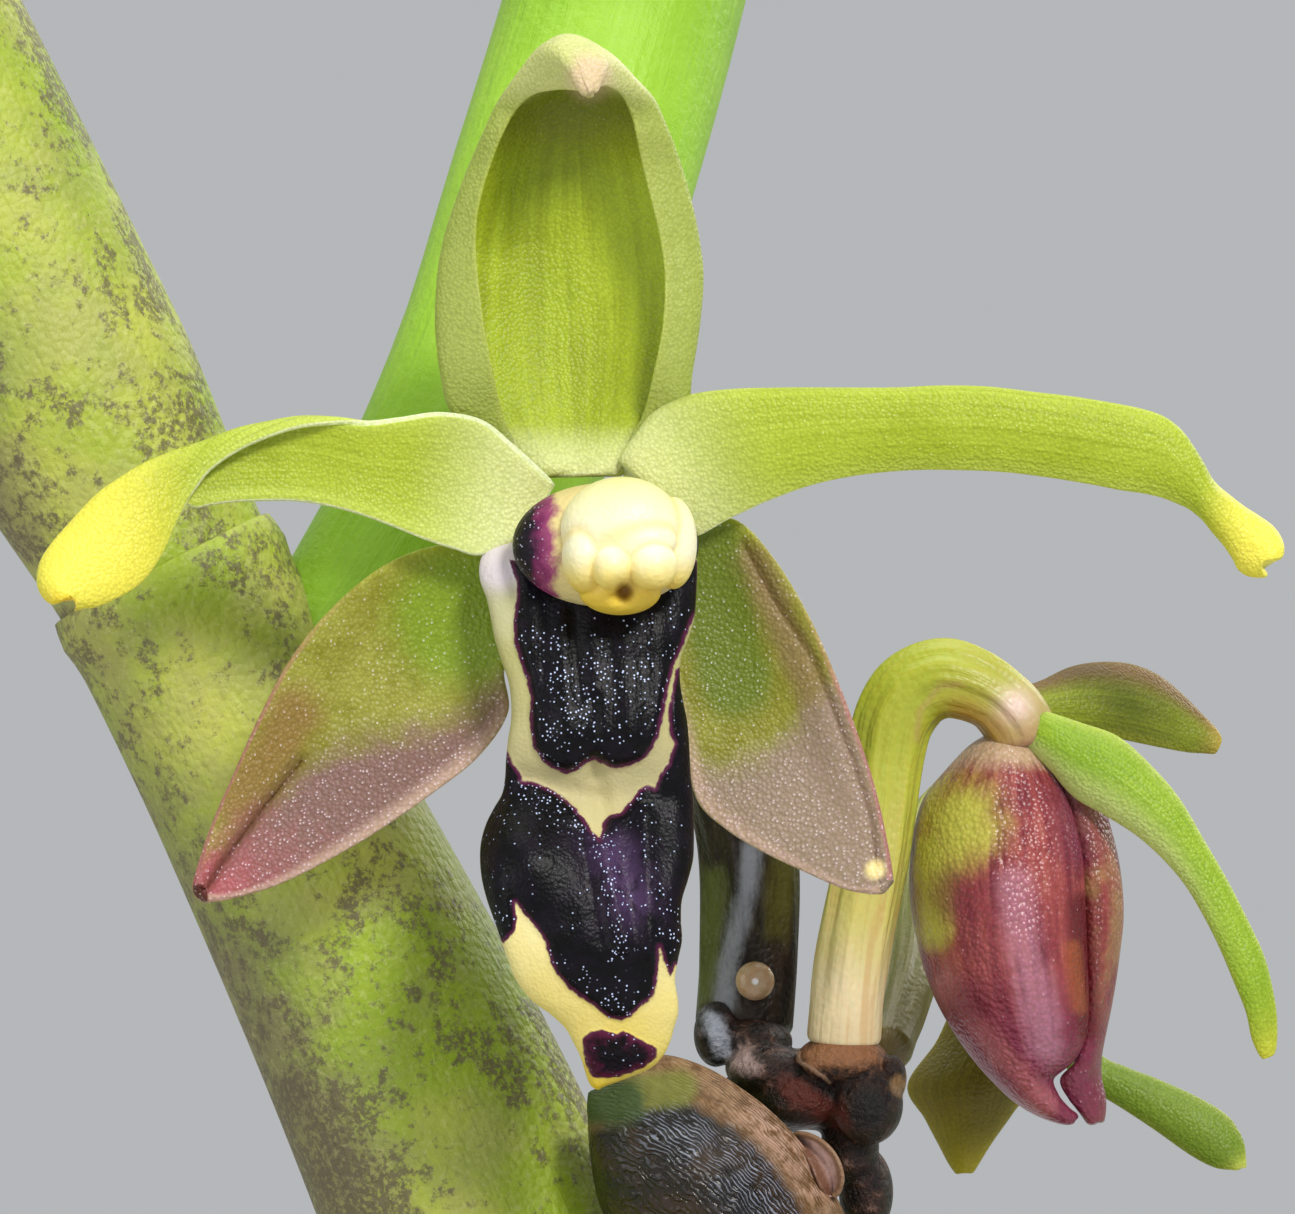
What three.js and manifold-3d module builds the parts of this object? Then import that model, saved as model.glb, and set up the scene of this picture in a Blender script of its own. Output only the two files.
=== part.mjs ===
// A potted Luisia curtisii: three canes of pencil-shaped leaves in a clay pot of bark, with a short spike
// of three flowers low on the front cane. Millimetres, +Z up, the origin at the centre of the pot's foot.
// The open flower faces -Y.

import * as THREE from "three";
import { mergeVertices } from "three/addons/utils/BufferGeometryUtils.js";
import Module from "manifold-3d";

const wasm = await Module();
wasm.setup();

// Driving dimensions

const POT = {
  height: 92,
  footRadius: 38,
  rimRadius: 58,
  bandHeight: 17,
  bandStep: 5.2,
  wall: 5,
  floor: 6,
  holeRadius: 4.5,
  holeCircle: 20,
  holes: 3,
};
const BARK = { bottom: 6.4, top: 80, gap: 0.4, bump: 2.2 };
const GAP = 0.12; // clearance between neighbouring pieces of the plant
const FLOWER = new THREE.Vector3(8, -14, 172); // where the open flower's parts meet
const TEPAL = 0.4; // thickness of a sepal or petal
const LIP = 1.0; // thickness of the lip

const plant = new THREE.Group();
plant.name = "potted_luisia";

// Finishes

const finish = (color, roughness) => new THREE.MeshStandardMaterial({ color, roughness, metalness: 0 });
const CLAY = finish(0xb5653f, 0.9);
const BARK_BROWN = finish(0x5a3a24, 0.95);
const CANE_GREEN = finish(0x7f9036, 0.55);
const LEAF_GREEN = finish(0x6d9a2e, 0.45);
const HUSK_BROWN = finish(0x7d6a4a, 0.85);
const ROOT_GREY = finish(0xb9b6a4, 0.8);
const SEPAL_GREEN = finish(0xa9bb3c, 0.4);
const PETAL_GREEN = finish(0xb4cc3e, 0.4);
const SEPAL_PINK = finish(0xa8868a, 0.45);
const LIP_DARK = finish(0x120812, 0.25);
const COLUMN_CREAM = finish(0xf2e6a0, 0.4);
const STALK_TAN = finish(0xc0b070, 0.5);
const SPIKE_BROWN = finish(0x4a2c1c, 0.6);
const SAP_AMBER = finish(0xd8b878, 0.15);

// Solids: a closed geometry as something that can be cut and joined, and back again

function solidOf(geometry) {
  const loose = geometry.index ? geometry.toNonIndexed() : geometry;
  const bare = new THREE.BufferGeometry().setAttribute("position", loose.getAttribute("position"));
  const merged = mergeVertices(bare, 1e-4);
  return new wasm.Manifold(
    new wasm.Mesh({
      numProp: 3,
      vertProperties: merged.attributes.position.array,
      triVerts: new Uint32Array(merged.index.array),
    }),
  );
}

function geometryOf(solid) {
  const mesh = solid.getMesh();
  const geometry = new THREE.BufferGeometry();
  geometry.setAttribute("position", new THREE.BufferAttribute(mesh.vertProperties, 3));
  geometry.setIndex(new THREE.BufferAttribute(mesh.triVerts, 1));
  geometry.computeVertexNormals();
  return geometry;
}

// The largest body of a solid that a cut may have left in several
const largest = (solid) => solid.decompose().sort((a, b) => b.volume() - a.volume())[0];

function add(name, geometry, material) {
  const mesh = new THREE.Mesh(geometry, material);
  mesh.name = name;
  plant.add(mesh);
}

// Curves

const vec = ([x, y, z]) => new THREE.Vector3(x, y, z);
const curveThrough = (points) => new THREE.CatmullRomCurve3(points.map(vec), false, "centripetal");
const smooth = (low, high, x) => THREE.MathUtils.smoothstep(x, low, high);

// A number from an evenly spaced list, at share u of its length
function along(list, u) {
  const place = Math.min(u * (list.length - 1), list.length - 1 - 1e-9);
  const i = Math.floor(place);
  return THREE.MathUtils.lerp(list[i], list[i + 1], place - i);
}

// Evenly spaced distances along a curve
function spaced(from, to, steps) {
  return Array.from({ length: steps + 1 }, (_, i) => from + ((to - from) * i) / steps);
}

// A closed tube along a curve: a ring at each distance in `stops`, its radius a function of the distance
function tube(curve, stops, radiusAt, sides = 7) {
  const length = curve.getLength();
  const steps = stops.length - 1;
  const positions = [];
  const indices = [];
  const normal = new THREE.Vector3(0.3, 1, 0.2);
  for (const distance of stops) {
    const share = THREE.MathUtils.clamp(distance / length, 0, 1);
    const centre = curve.getPointAt(share);
    const tangent = curve.getTangentAt(share);
    normal.addScaledVector(tangent, -normal.dot(tangent)).normalize();
    const binormal = tangent.clone().cross(normal);
    const radius = radiusAt(distance);
    for (let j = 0; j < sides; j++) {
      const angle = (2 * Math.PI * j) / sides;
      const point = centre.clone();
      point.addScaledVector(normal, radius * Math.cos(angle));
      point.addScaledVector(binormal, radius * Math.sin(angle));
      positions.push(point.x, point.y, point.z);
    }
  }
  for (let i = 0; i < steps; i++) {
    for (let j = 0; j < sides; j++) {
      const a = i * sides + j;
      const b = i * sides + ((j + 1) % sides);
      indices.push(a, b, a + sides, b, b + sides, a + sides);
    }
  }
  const last = steps * sides;
  for (let j = 1; j < sides - 1; j++) {
    indices.push(0, j + 1, j, last, last + j, last + j + 1);
  }
  const geometry = new THREE.BufferGeometry();
  geometry.setAttribute("position", new THREE.Float32BufferAttribute(positions, 3));
  geometry.setIndex(indices);
  return geometry;
}

// A fleshy blade. Each station holds x, y, z, half width, bow in degrees and turn in degrees. The section is
// an arc of that bow each side of the middle, hollow towards side x tangent, and turned about the spine.
function blade(stations, side, thickness, steps = 8, columns = 5) {
  const spine = curveThrough(stations.map((s) => s.slice(0, 3)));
  const halves = stations.map((s) => s[3]);
  const bows = stations.map((s) => THREE.MathUtils.degToRad(s[4] || 0.5));
  const turns = stations.map((s) => THREE.MathUtils.degToRad(s[5] || 0));
  const positions = [];
  const indices = [];
  for (let i = 0; i <= steps; i++) {
    const u = i / steps;
    const centre = spine.getPoint(u);
    const tangent = spine.getTangent(u);
    const across = vec(side).addScaledVector(tangent, -vec(side).dot(tangent)).normalize();
    across.applyAxisAngle(tangent, along(turns, u));
    const face = across.clone().cross(tangent);
    const half = along(halves, u);
    const bow = along(bows, u);
    for (const skin of [0.5, -0.5]) {
      for (let j = 0; j <= columns; j++) {
        const v = (2 * j) / columns - 1;
        const lift = skin * thickness * (1 - 0.65 * v * v);
        const point = centre.clone();
        point.addScaledVector(across, (half * Math.sin(bow * v)) / bow - lift * Math.sin(bow * v));
        point.addScaledVector(face, (half * (1 - Math.cos(bow * v))) / bow + lift * Math.cos(bow * v));
        positions.push(point.x, point.y, point.z);
      }
    }
  }
  const row = columns + 1;
  const front = (i, j) => i * 2 * row + j;
  const back = (i, j) => front(i, j) + row;
  const quad = (a, b, c, d) => indices.push(a, b, c, b, d, c);
  for (let i = 0; i < steps; i++) {
    for (let j = 0; j < columns; j++) {
      quad(front(i, j), front(i, j + 1), front(i + 1, j), front(i + 1, j + 1));
      quad(back(i, j + 1), back(i, j), back(i + 1, j + 1), back(i + 1, j));
    }
    quad(front(i, 0), front(i + 1, 0), back(i, 0), back(i + 1, 0));
    quad(back(i, columns), back(i + 1, columns), front(i, columns), front(i + 1, columns));
  }
  for (let j = 0; j < columns; j++) {
    quad(front(0, j), back(0, j), front(0, j + 1), back(0, j + 1));
    quad(front(steps, j + 1), back(steps, j + 1), front(steps, j), back(steps, j));
  }
  const geometry = new THREE.BufferGeometry();
  geometry.setAttribute("position", new THREE.Float32BufferAttribute(positions, 3));
  geometry.setIndex(indices);
  return geometry;
}

// Pot: a plain clay pot with a rolled band at its rim, and three drain holes round a solid centre

function addPot() {
  const { height, footRadius, rimRadius, bandHeight, bandStep, wall, floor } = POT;
  const bandFoot = height - bandHeight;
  const neck = rimRadius - bandStep;
  const inner = rimRadius - wall - 1.5;
  const profile = [
    [0, 0],
    [footRadius - 1.2, 0],
    [footRadius, 1.2],
    [neck, bandFoot],
    [rimRadius - 1, bandFoot],
    [rimRadius, bandFoot + 1.2],
    [rimRadius, height - 1.6],
    [rimRadius - 1.6, height],
    [inner + 1.6, height],
    [inner, height - 1.6],
    [inner - 1.4, bandFoot + 4],
    [neck - wall, bandFoot - 2],
    [footRadius - wall, floor],
    [0, floor],
  ].map(([r, z]) => new THREE.Vector2(r, z));
  const body = new THREE.LatheGeometry(profile, 36).rotateX(Math.PI / 2);
  let pot = solidOf(body);
  for (let i = 0; i < POT.holes; i++) {
    const angle = (2 * Math.PI * i) / POT.holes + Math.PI / 6;
    const hole = new THREE.CylinderGeometry(POT.holeRadius, POT.holeRadius, 4 * floor, 12);
    hole.rotateX(Math.PI / 2);
    hole.translate(POT.holeCircle * Math.cos(angle), POT.holeCircle * Math.sin(angle), 0);
    pot = pot.subtract(solidOf(hole));
  }
  add("pot", geometryOf(pot), CLAY);
}

// Radius of the pot's inner wall at a height between its floor and the foot of its band
function innerRadius(z) {
  const { height, footRadius, rimRadius, bandHeight, bandStep, wall, floor } = POT;
  const top = height - bandHeight - 2;
  const share = THREE.MathUtils.clamp((z - floor) / (top - floor), 0, 1.03);
  return THREE.MathUtils.lerp(footRadius - wall, rimRadius - bandStep - wall, share);
}

// Bark: a bed of coarse bark, lumpy on top, cut to let the canes and roots stand in it

function barkBed() {
  const rings = 7;
  const sides = 26;
  const positions = [0, 0, BARK.bottom];
  const indices = [];
  const facets = Math.cos(Math.PI / sides); // keeps the bed's corners inside the pot's wall
  const addRing = (radius, z, lump) => {
    for (let j = 0; j < sides; j++) {
      const angle = (2 * Math.PI * j) / sides;
      const lift = lump * Math.sin(3.1 * angle + radius) * Math.cos(0.21 * radius + 2 * angle);
      positions.push(radius * Math.cos(angle), radius * Math.sin(angle), z + lift);
    }
  };
  const shoulder = BARK.top - 9;
  const edge = (innerRadius(shoulder) - BARK.gap) * facets;
  addRing((innerRadius(BARK.bottom) - BARK.gap) * facets, BARK.bottom, 0);
  addRing(edge, shoulder, 0);
  for (let i = 0; i < rings; i++) {
    addRing((edge - 0.5) * (1 - i / rings), BARK.top - 1 + Math.min(i, 2), BARK.bump);
  }
  positions.push(0, 0, BARK.top + 2);
  const ringCount = rings + 2;
  const apex = 1 + ringCount * sides;
  for (let j = 0; j < sides; j++) {
    const next = (j + 1) % sides;
    indices.push(0, 1 + next, 1 + j);
    for (let i = 0; i < ringCount - 1; i++) {
      const a = 1 + i * sides + j;
      const b = 1 + i * sides + next;
      indices.push(a, b, a + sides, b, b + sides, a + sides);
    }
    indices.push(apex - sides + j, apex - sides + next, apex);
  }
  const geometry = new THREE.BufferGeometry();
  geometry.setAttribute("position", new THREE.Float32BufferAttribute(positions, 3));
  geometry.setIndex(indices);
  return solidOf(geometry);
}

// Canes: each is a slim stem wrapped in leaf sheaths, one to an internode. `nodes` are the heights of the
// joints. A leaf's `toward` is its compass angle in degrees from +X, and `spread` its angle from the cane.

const CORE = 1.25; // radius of the bare stem inside its sheaths
const SWELL = 0.27; // how much wider a sheath is over its lower half than at its mouth
const CANES = [
  {
    name: "cane_1",
    points: [
      [20, -4.5, 74],
      [18.6, -5.5, 97],
      [15, -7, 127],
      [9.3, -8, 150],
      [5.65, -8.4, 160.1],
      [2.7, -8.5, 166.4],
      [0.65, -8.5, 170.4],
      [-1.2, -8.5, 173.9],
      [-6.5, -8, 185],
      [-15.5, -6, 206],
      [-24, -3, 230],
      [-31, 1, 256],
      [-35, 4, 279],
    ],
    nodes: [76, 97, 114, 132, 150.5, 170.4, 189, 207.5, 226, 244, 260, 273],
    radius: 2.15,
    leaves: [
      null,
      null,
      { length: 62, toward: 30, spread: 60, rise: 0.12 },
      { length: 74, toward: 200, spread: 62, rise: 0.2 },
      {
        points: [
          [1.6, -8.4, 166.5],
          [3.9, -7.6, 169.6],
          [6.1, -6.5, 173.4],
          [7.4, -4.5, 177.6],
          [8.5, -2.2, 181.6],
          [11, 4, 193],
          [15, 14, 214],
          [19.5, 26, 238],
          [22, 33, 252],
        ],
      },
      { length: 88, toward: 205, spread: 44, rise: 0.2 },
      { length: 84, toward: 40, spread: 42, rise: 0.1 },
      { length: 80, toward: 190, spread: 40, rise: 0.15 },
      { length: 72, toward: 60, spread: 38, rise: 0.1 },
      { length: 60, toward: 215, spread: 34, rise: 0.12 },
      { length: 44, toward: 35, spread: 26, rise: 0.1 },
    ],
  },
  {
    name: "cane_2",
    points: [
      [-14, 12, 74],
      [-16, 14, 98],
      [-20, 18, 124],
      [-26, 24, 150],
      [-33, 31, 174],
      [-39, 37, 194],
    ],
    nodes: [76, 96, 115, 134, 153, 171, 187],
    radius: 2.05,
    leaves: [
      null,
      { length: 70, toward: 205, spread: 56, rise: 0.18 },
      { length: 82, toward: 100, spread: 46, rise: 0.14 },
      { length: 84, toward: 215, spread: 44, rise: 0.2 },
      { length: 72, toward: 62, spread: 44, rise: 0.12 },
      { length: 52, toward: 175, spread: 30, rise: 0.1 },
    ],
  },
  {
    name: "cane_3",
    points: [
      [31, 16, 74],
      [34, 19, 92],
      [39, 23, 112],
      [46, 28, 132],
      [52, 32, 148],
    ],
    nodes: [76, 91, 107, 123, 139],
    radius: 1.95,
    leaves: [
      { length: 60, toward: 318, spread: 52, rise: 0.16 },
      { length: 74, toward: 98, spread: 46, rise: 0.2 },
      { length: 70, toward: 340, spread: 42, rise: 0.14 },
      { length: 54, toward: 80, spread: 30, rise: 0.1 },
    ],
  },
];

// Distance along a curve at which it reaches a height
function distanceAt(curve, height) {
  let low = 0;
  let high = 1;
  for (let i = 0; i < 30; i++) {
    const middle = (low + high) / 2;
    if (curve.getPointAt(middle).z < height) low = middle;
    else high = middle;
  }
  return low * curve.getLength();
}

// A leaf leaves the mouth of its sheath, bends away from the cane and rises again towards its tip
function leafPath(curve, to, { length, toward, spread, rise, points }) {
  if (points) return curveThrough(points);
  const share = to / curve.getLength();
  const mouth = curve.getPointAt(share);
  const tangent = curve.getTangentAt(share);
  const rad = THREE.MathUtils.degToRad;
  const out = new THREE.Vector3(Math.cos(rad(toward)), Math.sin(rad(toward)), 0);
  out.addScaledVector(tangent, -out.dot(tangent)).normalize();
  const way = tangent.clone().multiplyScalar(Math.cos(rad(spread)));
  way.addScaledVector(out, Math.sin(rad(spread)));
  const at = (distance) => {
    const point = mouth.clone().addScaledVector(out, 1.5).addScaledVector(way, distance);
    point.z += rise * length * Math.pow(distance / length, 1.6);
    return point;
  };
  const start = mouth.clone().addScaledVector(tangent, -4).addScaledVector(out, 0.4);
  const path = [start, ...[0.6, length * 0.2, length * 0.5, length * 0.8, length].map(at)];
  return new THREE.CatmullRomCurve3(path, false, "centripetal");
}

function addCane({ name, points, nodes, radius, leaves }, cuts) {
  const curve = curveThrough(points);
  const length = curve.getLength();
  const joints = nodes.map((z) => distanceAt(curve, z));
  const perJoint = 3;
  const stops = [0];
  joints.slice(1).forEach((to, k) => stops.push(...spaced(joints[k], to, perJoint).slice(0, -1)));
  stops.push(joints.at(-1), length);
  const core = (distance) => CORE * (1 - 0.2 * (distance / length));
  add(name, tube(curve, stops, core), CANE_GREEN);
  for (let k = 0; k < joints.length - 1; k++) {
    const [from, to] = [joints[k], joints[k + 1]];
    const mouth = radius * (1 - 0.12 * (k / joints.length));
    const swollen = mouth * (1 + SWELL);
    const outer = (distance) => mouth * (1 + SWELL * (1 - smooth(0.3, 1, (distance - from) / (to - from))));
    const first = 1 + perJoint * k; // the stop at the sheath's foot
    const last = first + perJoint;
    let piece = solidOf(tube(curve, [from + GAP, ...stops.slice(first + 1, last + 1)], outer, 9));
    const leaf = leaves[k];
    if (leaf) {
      const path = leafPath(curve, to, leaf);
      const reach = path.getLength();
      const taper = (d) => {
        const blunt = Math.sqrt(1 - 0.85 * smooth(reach - 5, reach, d));
        return 0.98 * mouth * (1 - 0.3 * (d / reach)) * blunt;
      };
      const rings = [...spaced(0, reach - 5, 7), reach - 2, reach];
      piece = piece.add(solidOf(tube(path, rings, taper, 7)));
    }
    const hollow = stops.slice(first - 1, last + 2);
    piece = piece.subtract(solidOf(tube(curve, hollow, (d) => core(d) + 2 * GAP)));
    const beyond = stops.slice(last, last + perJoint);
    const wide = k < joints.length - 2 ? 1.05 * swollen + GAP : core(to) + 2 * GAP;
    if (beyond.length > 1) piece = piece.subtract(solidOf(tube(curve, beyond, () => wide, 9)));
    for (const cut of cuts) piece = piece.subtract(cut);
    const kind = leaf ? "leaf" : "sheath";
    add(`${kind}_${name.at(-1)}_${k + 1}`, geometryOf(largest(piece)), leaf ? LEAF_GREEN : HUSK_BROWN);
  }
  return tube(curve, spaced(0, 24, 4), () => radius * (1 + SWELL) + 0.3, 10);
}

// Roots: thick pale roots from the feet of the canes, two into the bark and one over the rim

const ROOT_RADIUS = 1.6;
const ROOTS = [
  [
    [14.5, -8.5, 90],
    [8, -16, 89.5],
    [1, -23, 87],
    [-6, -28, 82],
    [-9, -30, 74],
  ],
  [
    [23.5, -7.5, 88],
    [33, -18, 91],
    [42, -29, 94.8],
    [47.5, -34.2, 94.6],
    [50, -36.8, 88],
    [50.2, -37.6, 76],
    [46.6, -35, 60],
    [44.6, -33.2, 46],
  ],
  [
    [-18.5, 10, 88],
    [-27, 6, 90],
    [-34, 4, 86],
    [-38, 3, 78],
    [-38.5, 3, 72],
  ],
];

function rootTube(points, grown) {
  const curve = curveThrough(points);
  const length = curve.getLength();
  const radius = (distance) => (ROOT_RADIUS + grown) * (1 - 0.35 * smooth(length - 6, length, distance));
  return tube(curve, spaced(0, length, 12), radius, 7);
}

// The flowers. Each is described facing -Y with its upper sepal up, from the point where its parts meet.
// Stations: x, y, z, half width, bow, turn.

const OPEN = {
  dorsal_sepal: {
    side: [1, 0, 0],
    stations: [
      [-0.3, 0.75, 0.45, 0.55, 30],
      [-0.42, 0.8, 1.6, 1.25, 40],
      [-0.5, 0.95, 3.2, 2.3, 55],
      [-0.5, 0.8, 4.8, 2.5, 65],
      [-0.5, 0.25, 6.2, 2.1, 75],
      [-0.48, -0.6, 7.25, 1.5, 75],
      [-0.38, -1.55, 7.35, 0.8, 60],
      [-0.2, -2, 6.75, 0.15, 20],
    ],
  },
  left_petal: {
    side: [0, 0, 1],
    stations: [
      [-0.3, 0.2, 0.05, 0.6, 15],
      [-1.67, 0.1, 0.05, 1.15, 20],
      [-3.3, 0, 0.43, 0.95, 15],
      [-4.8, 0.05, 0.58, 0.85, 10],
      [-6.1, 0.1, 0.45, 0.9, 10],
      [-7.4, 0.2, -0.15, 0.95, 10],
      [-8.35, 0.4, -1, 0.8, 10],
      [-8.75, 0.55, -1.75, 0.3, 10],
    ],
  },
  right_petal: {
    side: [0, 0, -1],
    stations: [
      [0.4, 0.2, 0.2, 0.6, 15],
      [1.67, 0.15, 0.58, 1.1, 20, 10],
      [3, 0.05, 0.9, 0.9, 15, 30],
      [5, 0, 1.13, 0.85, 12, 40],
      [7.3, 0, 1.05, 0.85, 12, 40],
      [9.05, 0.1, 0.65, 0.75, 12, 40],
      [9.95, 0.2, -0.1, 0.5, 10, 50],
      [10.6, 0.25, -0.7, 0.45, 10, 60],
      [10.95, 0.25, -1.1, 0.25, 10, 60],
    ],
  },
  left_sepal: {
    side: [-0.7, 0, 0.7],
    stations: [
      [-0.45, 0.75, -0.4, 0.55, 15],
      [-1.3, 0.85, -1.15, 1.25, 25],
      [-2.6, 1, -2.5, 1.85, 32],
      [-3.9, 0.95, -3.8, 1.75, 36],
      [-5.2, 0.65, -5.2, 1.25, 42],
      [-6.1, 0.3, -6.1, 0.6, 50],
      [-6.6, 0.1, -6.52, 0.15, 30],
    ],
  },
  right_sepal: {
    side: [-0.82, 0, -0.57],
    stations: [
      [0.5, 0.75, -0.4, 0.55, 15],
      [1.1, 0.85, -1.3, 1.25, 25],
      [1.95, 1.05, -2.6, 1.8, 32],
      [2.85, 1, -3.9, 1.75, 36],
      [3.8, 0.7, -5.15, 1.25, 42],
      [4.45, 0.35, -6, 0.6, 50],
      [4.78, 0.15, -6.42, 0.15, 30],
    ],
  },
};

// The closing flower, seen from the side: its lateral sepals hang round the lip as a pod, its upper sepal
// and right petal stand out beside it and its left petal hangs behind
const CLOSED = {
  dorsal_sepal: {
    side: [0.05, 0.32, 0.94],
    stations: [
      [0.07, 0.15, 0.18, 0.25, 8, -10],
      [0.5, 0.45, 0.21, 0.42, 8, -8],
      [1.49, 1.05, 0.27, 0.62, 8, -6],
      [2.48, 1.4, 0.05, 0.62, 8, 0],
      [3.2, 1.6, -0.32, 0.35, 8, 5],
      [3.42, 1.65, -0.47, 0.2, 8, 12],
    ],
  },
  left_petal: {
    side: [0.99, 0.09, 0.08],
    stations: [
      [0.37, 0.8, -0.18, 0.23, 8, -71],
      [0.22, 2, -0.48, 0.37, 8, -12],
      [0.12, 3.35, -2.02, 0.55, 8, 0],
      [0.09, 3.85, -3.95, 0.5, 8, -1],
      [0.09, 3.8, -5.43, 0.24, 8, 6],
    ],
  },
  right_petal: {
    side: [0.45, 0.15, 0.88],
    stations: [
      [0.22, -0.35, -0.24, 0.19, 8, -4],
      [0.67, -0.55, -0.42, 0.4, 8, 5],
      [1.68, -0.75, -0.98, 0.6, 8, 5],
      [2.73, -0.75, -1.95, 0.38, 8, 1],
      [3.58, -0.75, -3.54, 0.34, 8, 2],
      [4.09, -0.7, -4.78, 0.36, 8, 5],
      [4.25, -0.62, -5.55, 0.15, 8, 11],
    ],
  },
  left_sepal: {
    side: [1, 0, 0],
    stations: [
      [-0.05, -0.2, -0.36, 0.15, 13],
      [-0.2, -0.44, -1.04, 0.91, 33],
      [-0.23, -0.79, -1.96, 1.5, 49],
      [-0.2, -0.98, -2.95, 1.71, 58],
      [-0.11, -0.97, -3.96, 1.65, 60],
      [0.08, -0.8, -4.95, 1.42, 54],
      [0.26, -0.48, -5.87, 0.87, 41],
      [0.42, -0.26, -6.51, 0.34, 27],
      [1.09, -0.18, -6.94, 0.12, 12],
    ],
  },
  right_sepal: {
    side: [-1, 0, 0],
    stations: [
      [0.07, 0.25, -0.36, 0.28, 13],
      [0.03, 0.56, -1.04, 1.15, 35],
      [0.01, 0.96, -1.96, 1.79, 51],
      [0.06, 1.2, -2.95, 2.05, 60],
      [0.12, 1.17, -3.96, 1.96, 62],
      [0.21, 0.93, -4.95, 1.59, 55],
      [0.43, 0.6, -5.87, 1.07, 42],
      [0.78, 0.39, -6.51, 0.72, 28],
      [1.24, 0.24, -6.94, 0.19, 13],
    ],
  },
};

// The flower behind is closing too: its pod is hidden and its petals hang out past it
const BEHIND = {
  ...CLOSED,
  left_petal: {
    side: [-0.5, 0.87, -0.04],
    stations: [
      [0.96, 0.74, -0.65, 0.4, 8, 2],
      [2.15, 1.34, -1.97, 0.67, 8, 0],
      [2.72, 1.68, -4.67, 1.07, 8, 0],
      [1.99, 2.16, -6.99, 1.5, 8, -1],
      [1.71, 2.1, -8.43, 0.58, 8, 1],
      [1.56, 2.1, -9.01, 0.2, 8, 0],
    ],
  },
  right_petal: {
    side: [0.5, -0.57, 0.65],
    stations: [
      [-0.53, -0.81, -0.19, 0.33, 8, 25],
      [-1.31, -1.6, -1.62, 0.42, 8, -4],
      [-2.06, -2.7, -4.92, 0.52, 8, 0],
      [-1.67, -3.64, -6.58, 0.45, 8, 0],
      [-0.94, -4.9, -7.34, 0.61, 8, 2],
      [-0.37, -5.9, -8.21, 0.52, 8, 1],
      [-0.25, -6.1, -8.41, 0.29, 8, -5],
    ],
  },
};

const LIP_STATIONS = [
  [-0.15, -0.05, -1.15, 1.5, 10],
  [-0.17, -0.15, -1.8, 1.72, 10],
  [-0.17, -0.4, -2.5, 1.55, 5],
  [-0.05, -0.55, -3.4, 1.38, -10],
  [-0.05, -0.5, -4.2, 1.48, -10],
  [-0.18, -0.75, -5.2, 1.75, -30],
  [-0.25, -1.05, -6.2, 1.8, -40],
  [-0.2, -1.15, -7.2, 1.6, -40],
  [-0.1, -1, -8, 1.38, -35],
  [0.3, -0.8, -8.9, 0.9, -20],
  [0.3, -0.6, -9.6, 0.4, -10],
];

// The column is the short thick body over the lip, wider than it is high
const COLUMN_MIDDLE = 0.25;
function columnGeometry() {
  const axis = curveThrough([
    [0.05, -0.05, -0.05],
    [0.1, -0.7, -0.12],
    [0.3, -1.4, -0.4],
    [0.42, -2.15, -0.6],
  ]);
  const radii = [0.68, 0.8, 1.05, 1.12, 1.02];
  const length = axis.getLength();
  const geometry = tube(axis, spaced(0, length, 6), (d) => along(radii, d / length), 12);
  return geometry.translate(-COLUMN_MIDDLE, 0, 0).scale(1.22, 1, 1).translate(COLUMN_MIDDLE, 0, 0);
}

// The anther cap is a low dome on the column's end
function antherGeometry() {
  const profile = [
    [0, 0],
    [1.06, 0],
    [1.12, 0.18],
    [0.95, 0.45],
    [0.6, 0.66],
    [0, 0.74],
  ];
  const outline = profile.map(([r, h]) => new THREE.Vector2(r, h));
  const dome = new THREE.LatheGeometry(outline, 14).scale(1, 1, 0.85);
  const facing = new THREE.Vector3(0.12, -0.94, -0.3).normalize();
  dome.applyQuaternion(new THREE.Quaternion().setFromUnitVectors(new THREE.Vector3(0, 1, 0), facing));
  return dome.translate(0.46, -2.26, -0.63);
}

const TEPAL_FINISH = {
  dorsal_sepal: SEPAL_GREEN,
  left_petal: PETAL_GREEN,
  right_petal: PETAL_GREEN,
  left_sepal: SEPAL_PINK,
  right_sepal: SEPAL_PINK,
};

function addFlower(number, parts, place, middle) {
  const put = (name, geometry, material) => {
    add(`${name}_${number}`, geometry.applyMatrix4(place), material);
  };
  for (const [name, { side, stations }] of Object.entries(parts)) {
    put(name, blade(stations, side, TEPAL), TEPAL_FINISH[name]);
  }
  put("lip", blade(LIP_STATIONS, [-1, 0, 0], LIP, 12, 6).applyMatrix4(middle), LIP_DARK);
  put("column", columnGeometry().applyMatrix4(middle), COLUMN_CREAM);
  put("anther_cap", antherGeometry().applyMatrix4(middle), COLUMN_CREAM);
}

// A place: an offset, a turn about the upright in degrees and a size
function placeOf([x, y, z], turn, size) {
  const turned = new THREE.Matrix4().makeRotationZ(THREE.MathUtils.degToRad(turn));
  turned.multiply(new THREE.Matrix4().makeScale(size, size, size));
  return turned.setPosition(x, y, z);
}

const near = (points) => points.map(([x, y, z]) => [FLOWER.x + x, FLOWER.y + y, FLOWER.z + z]);

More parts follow.
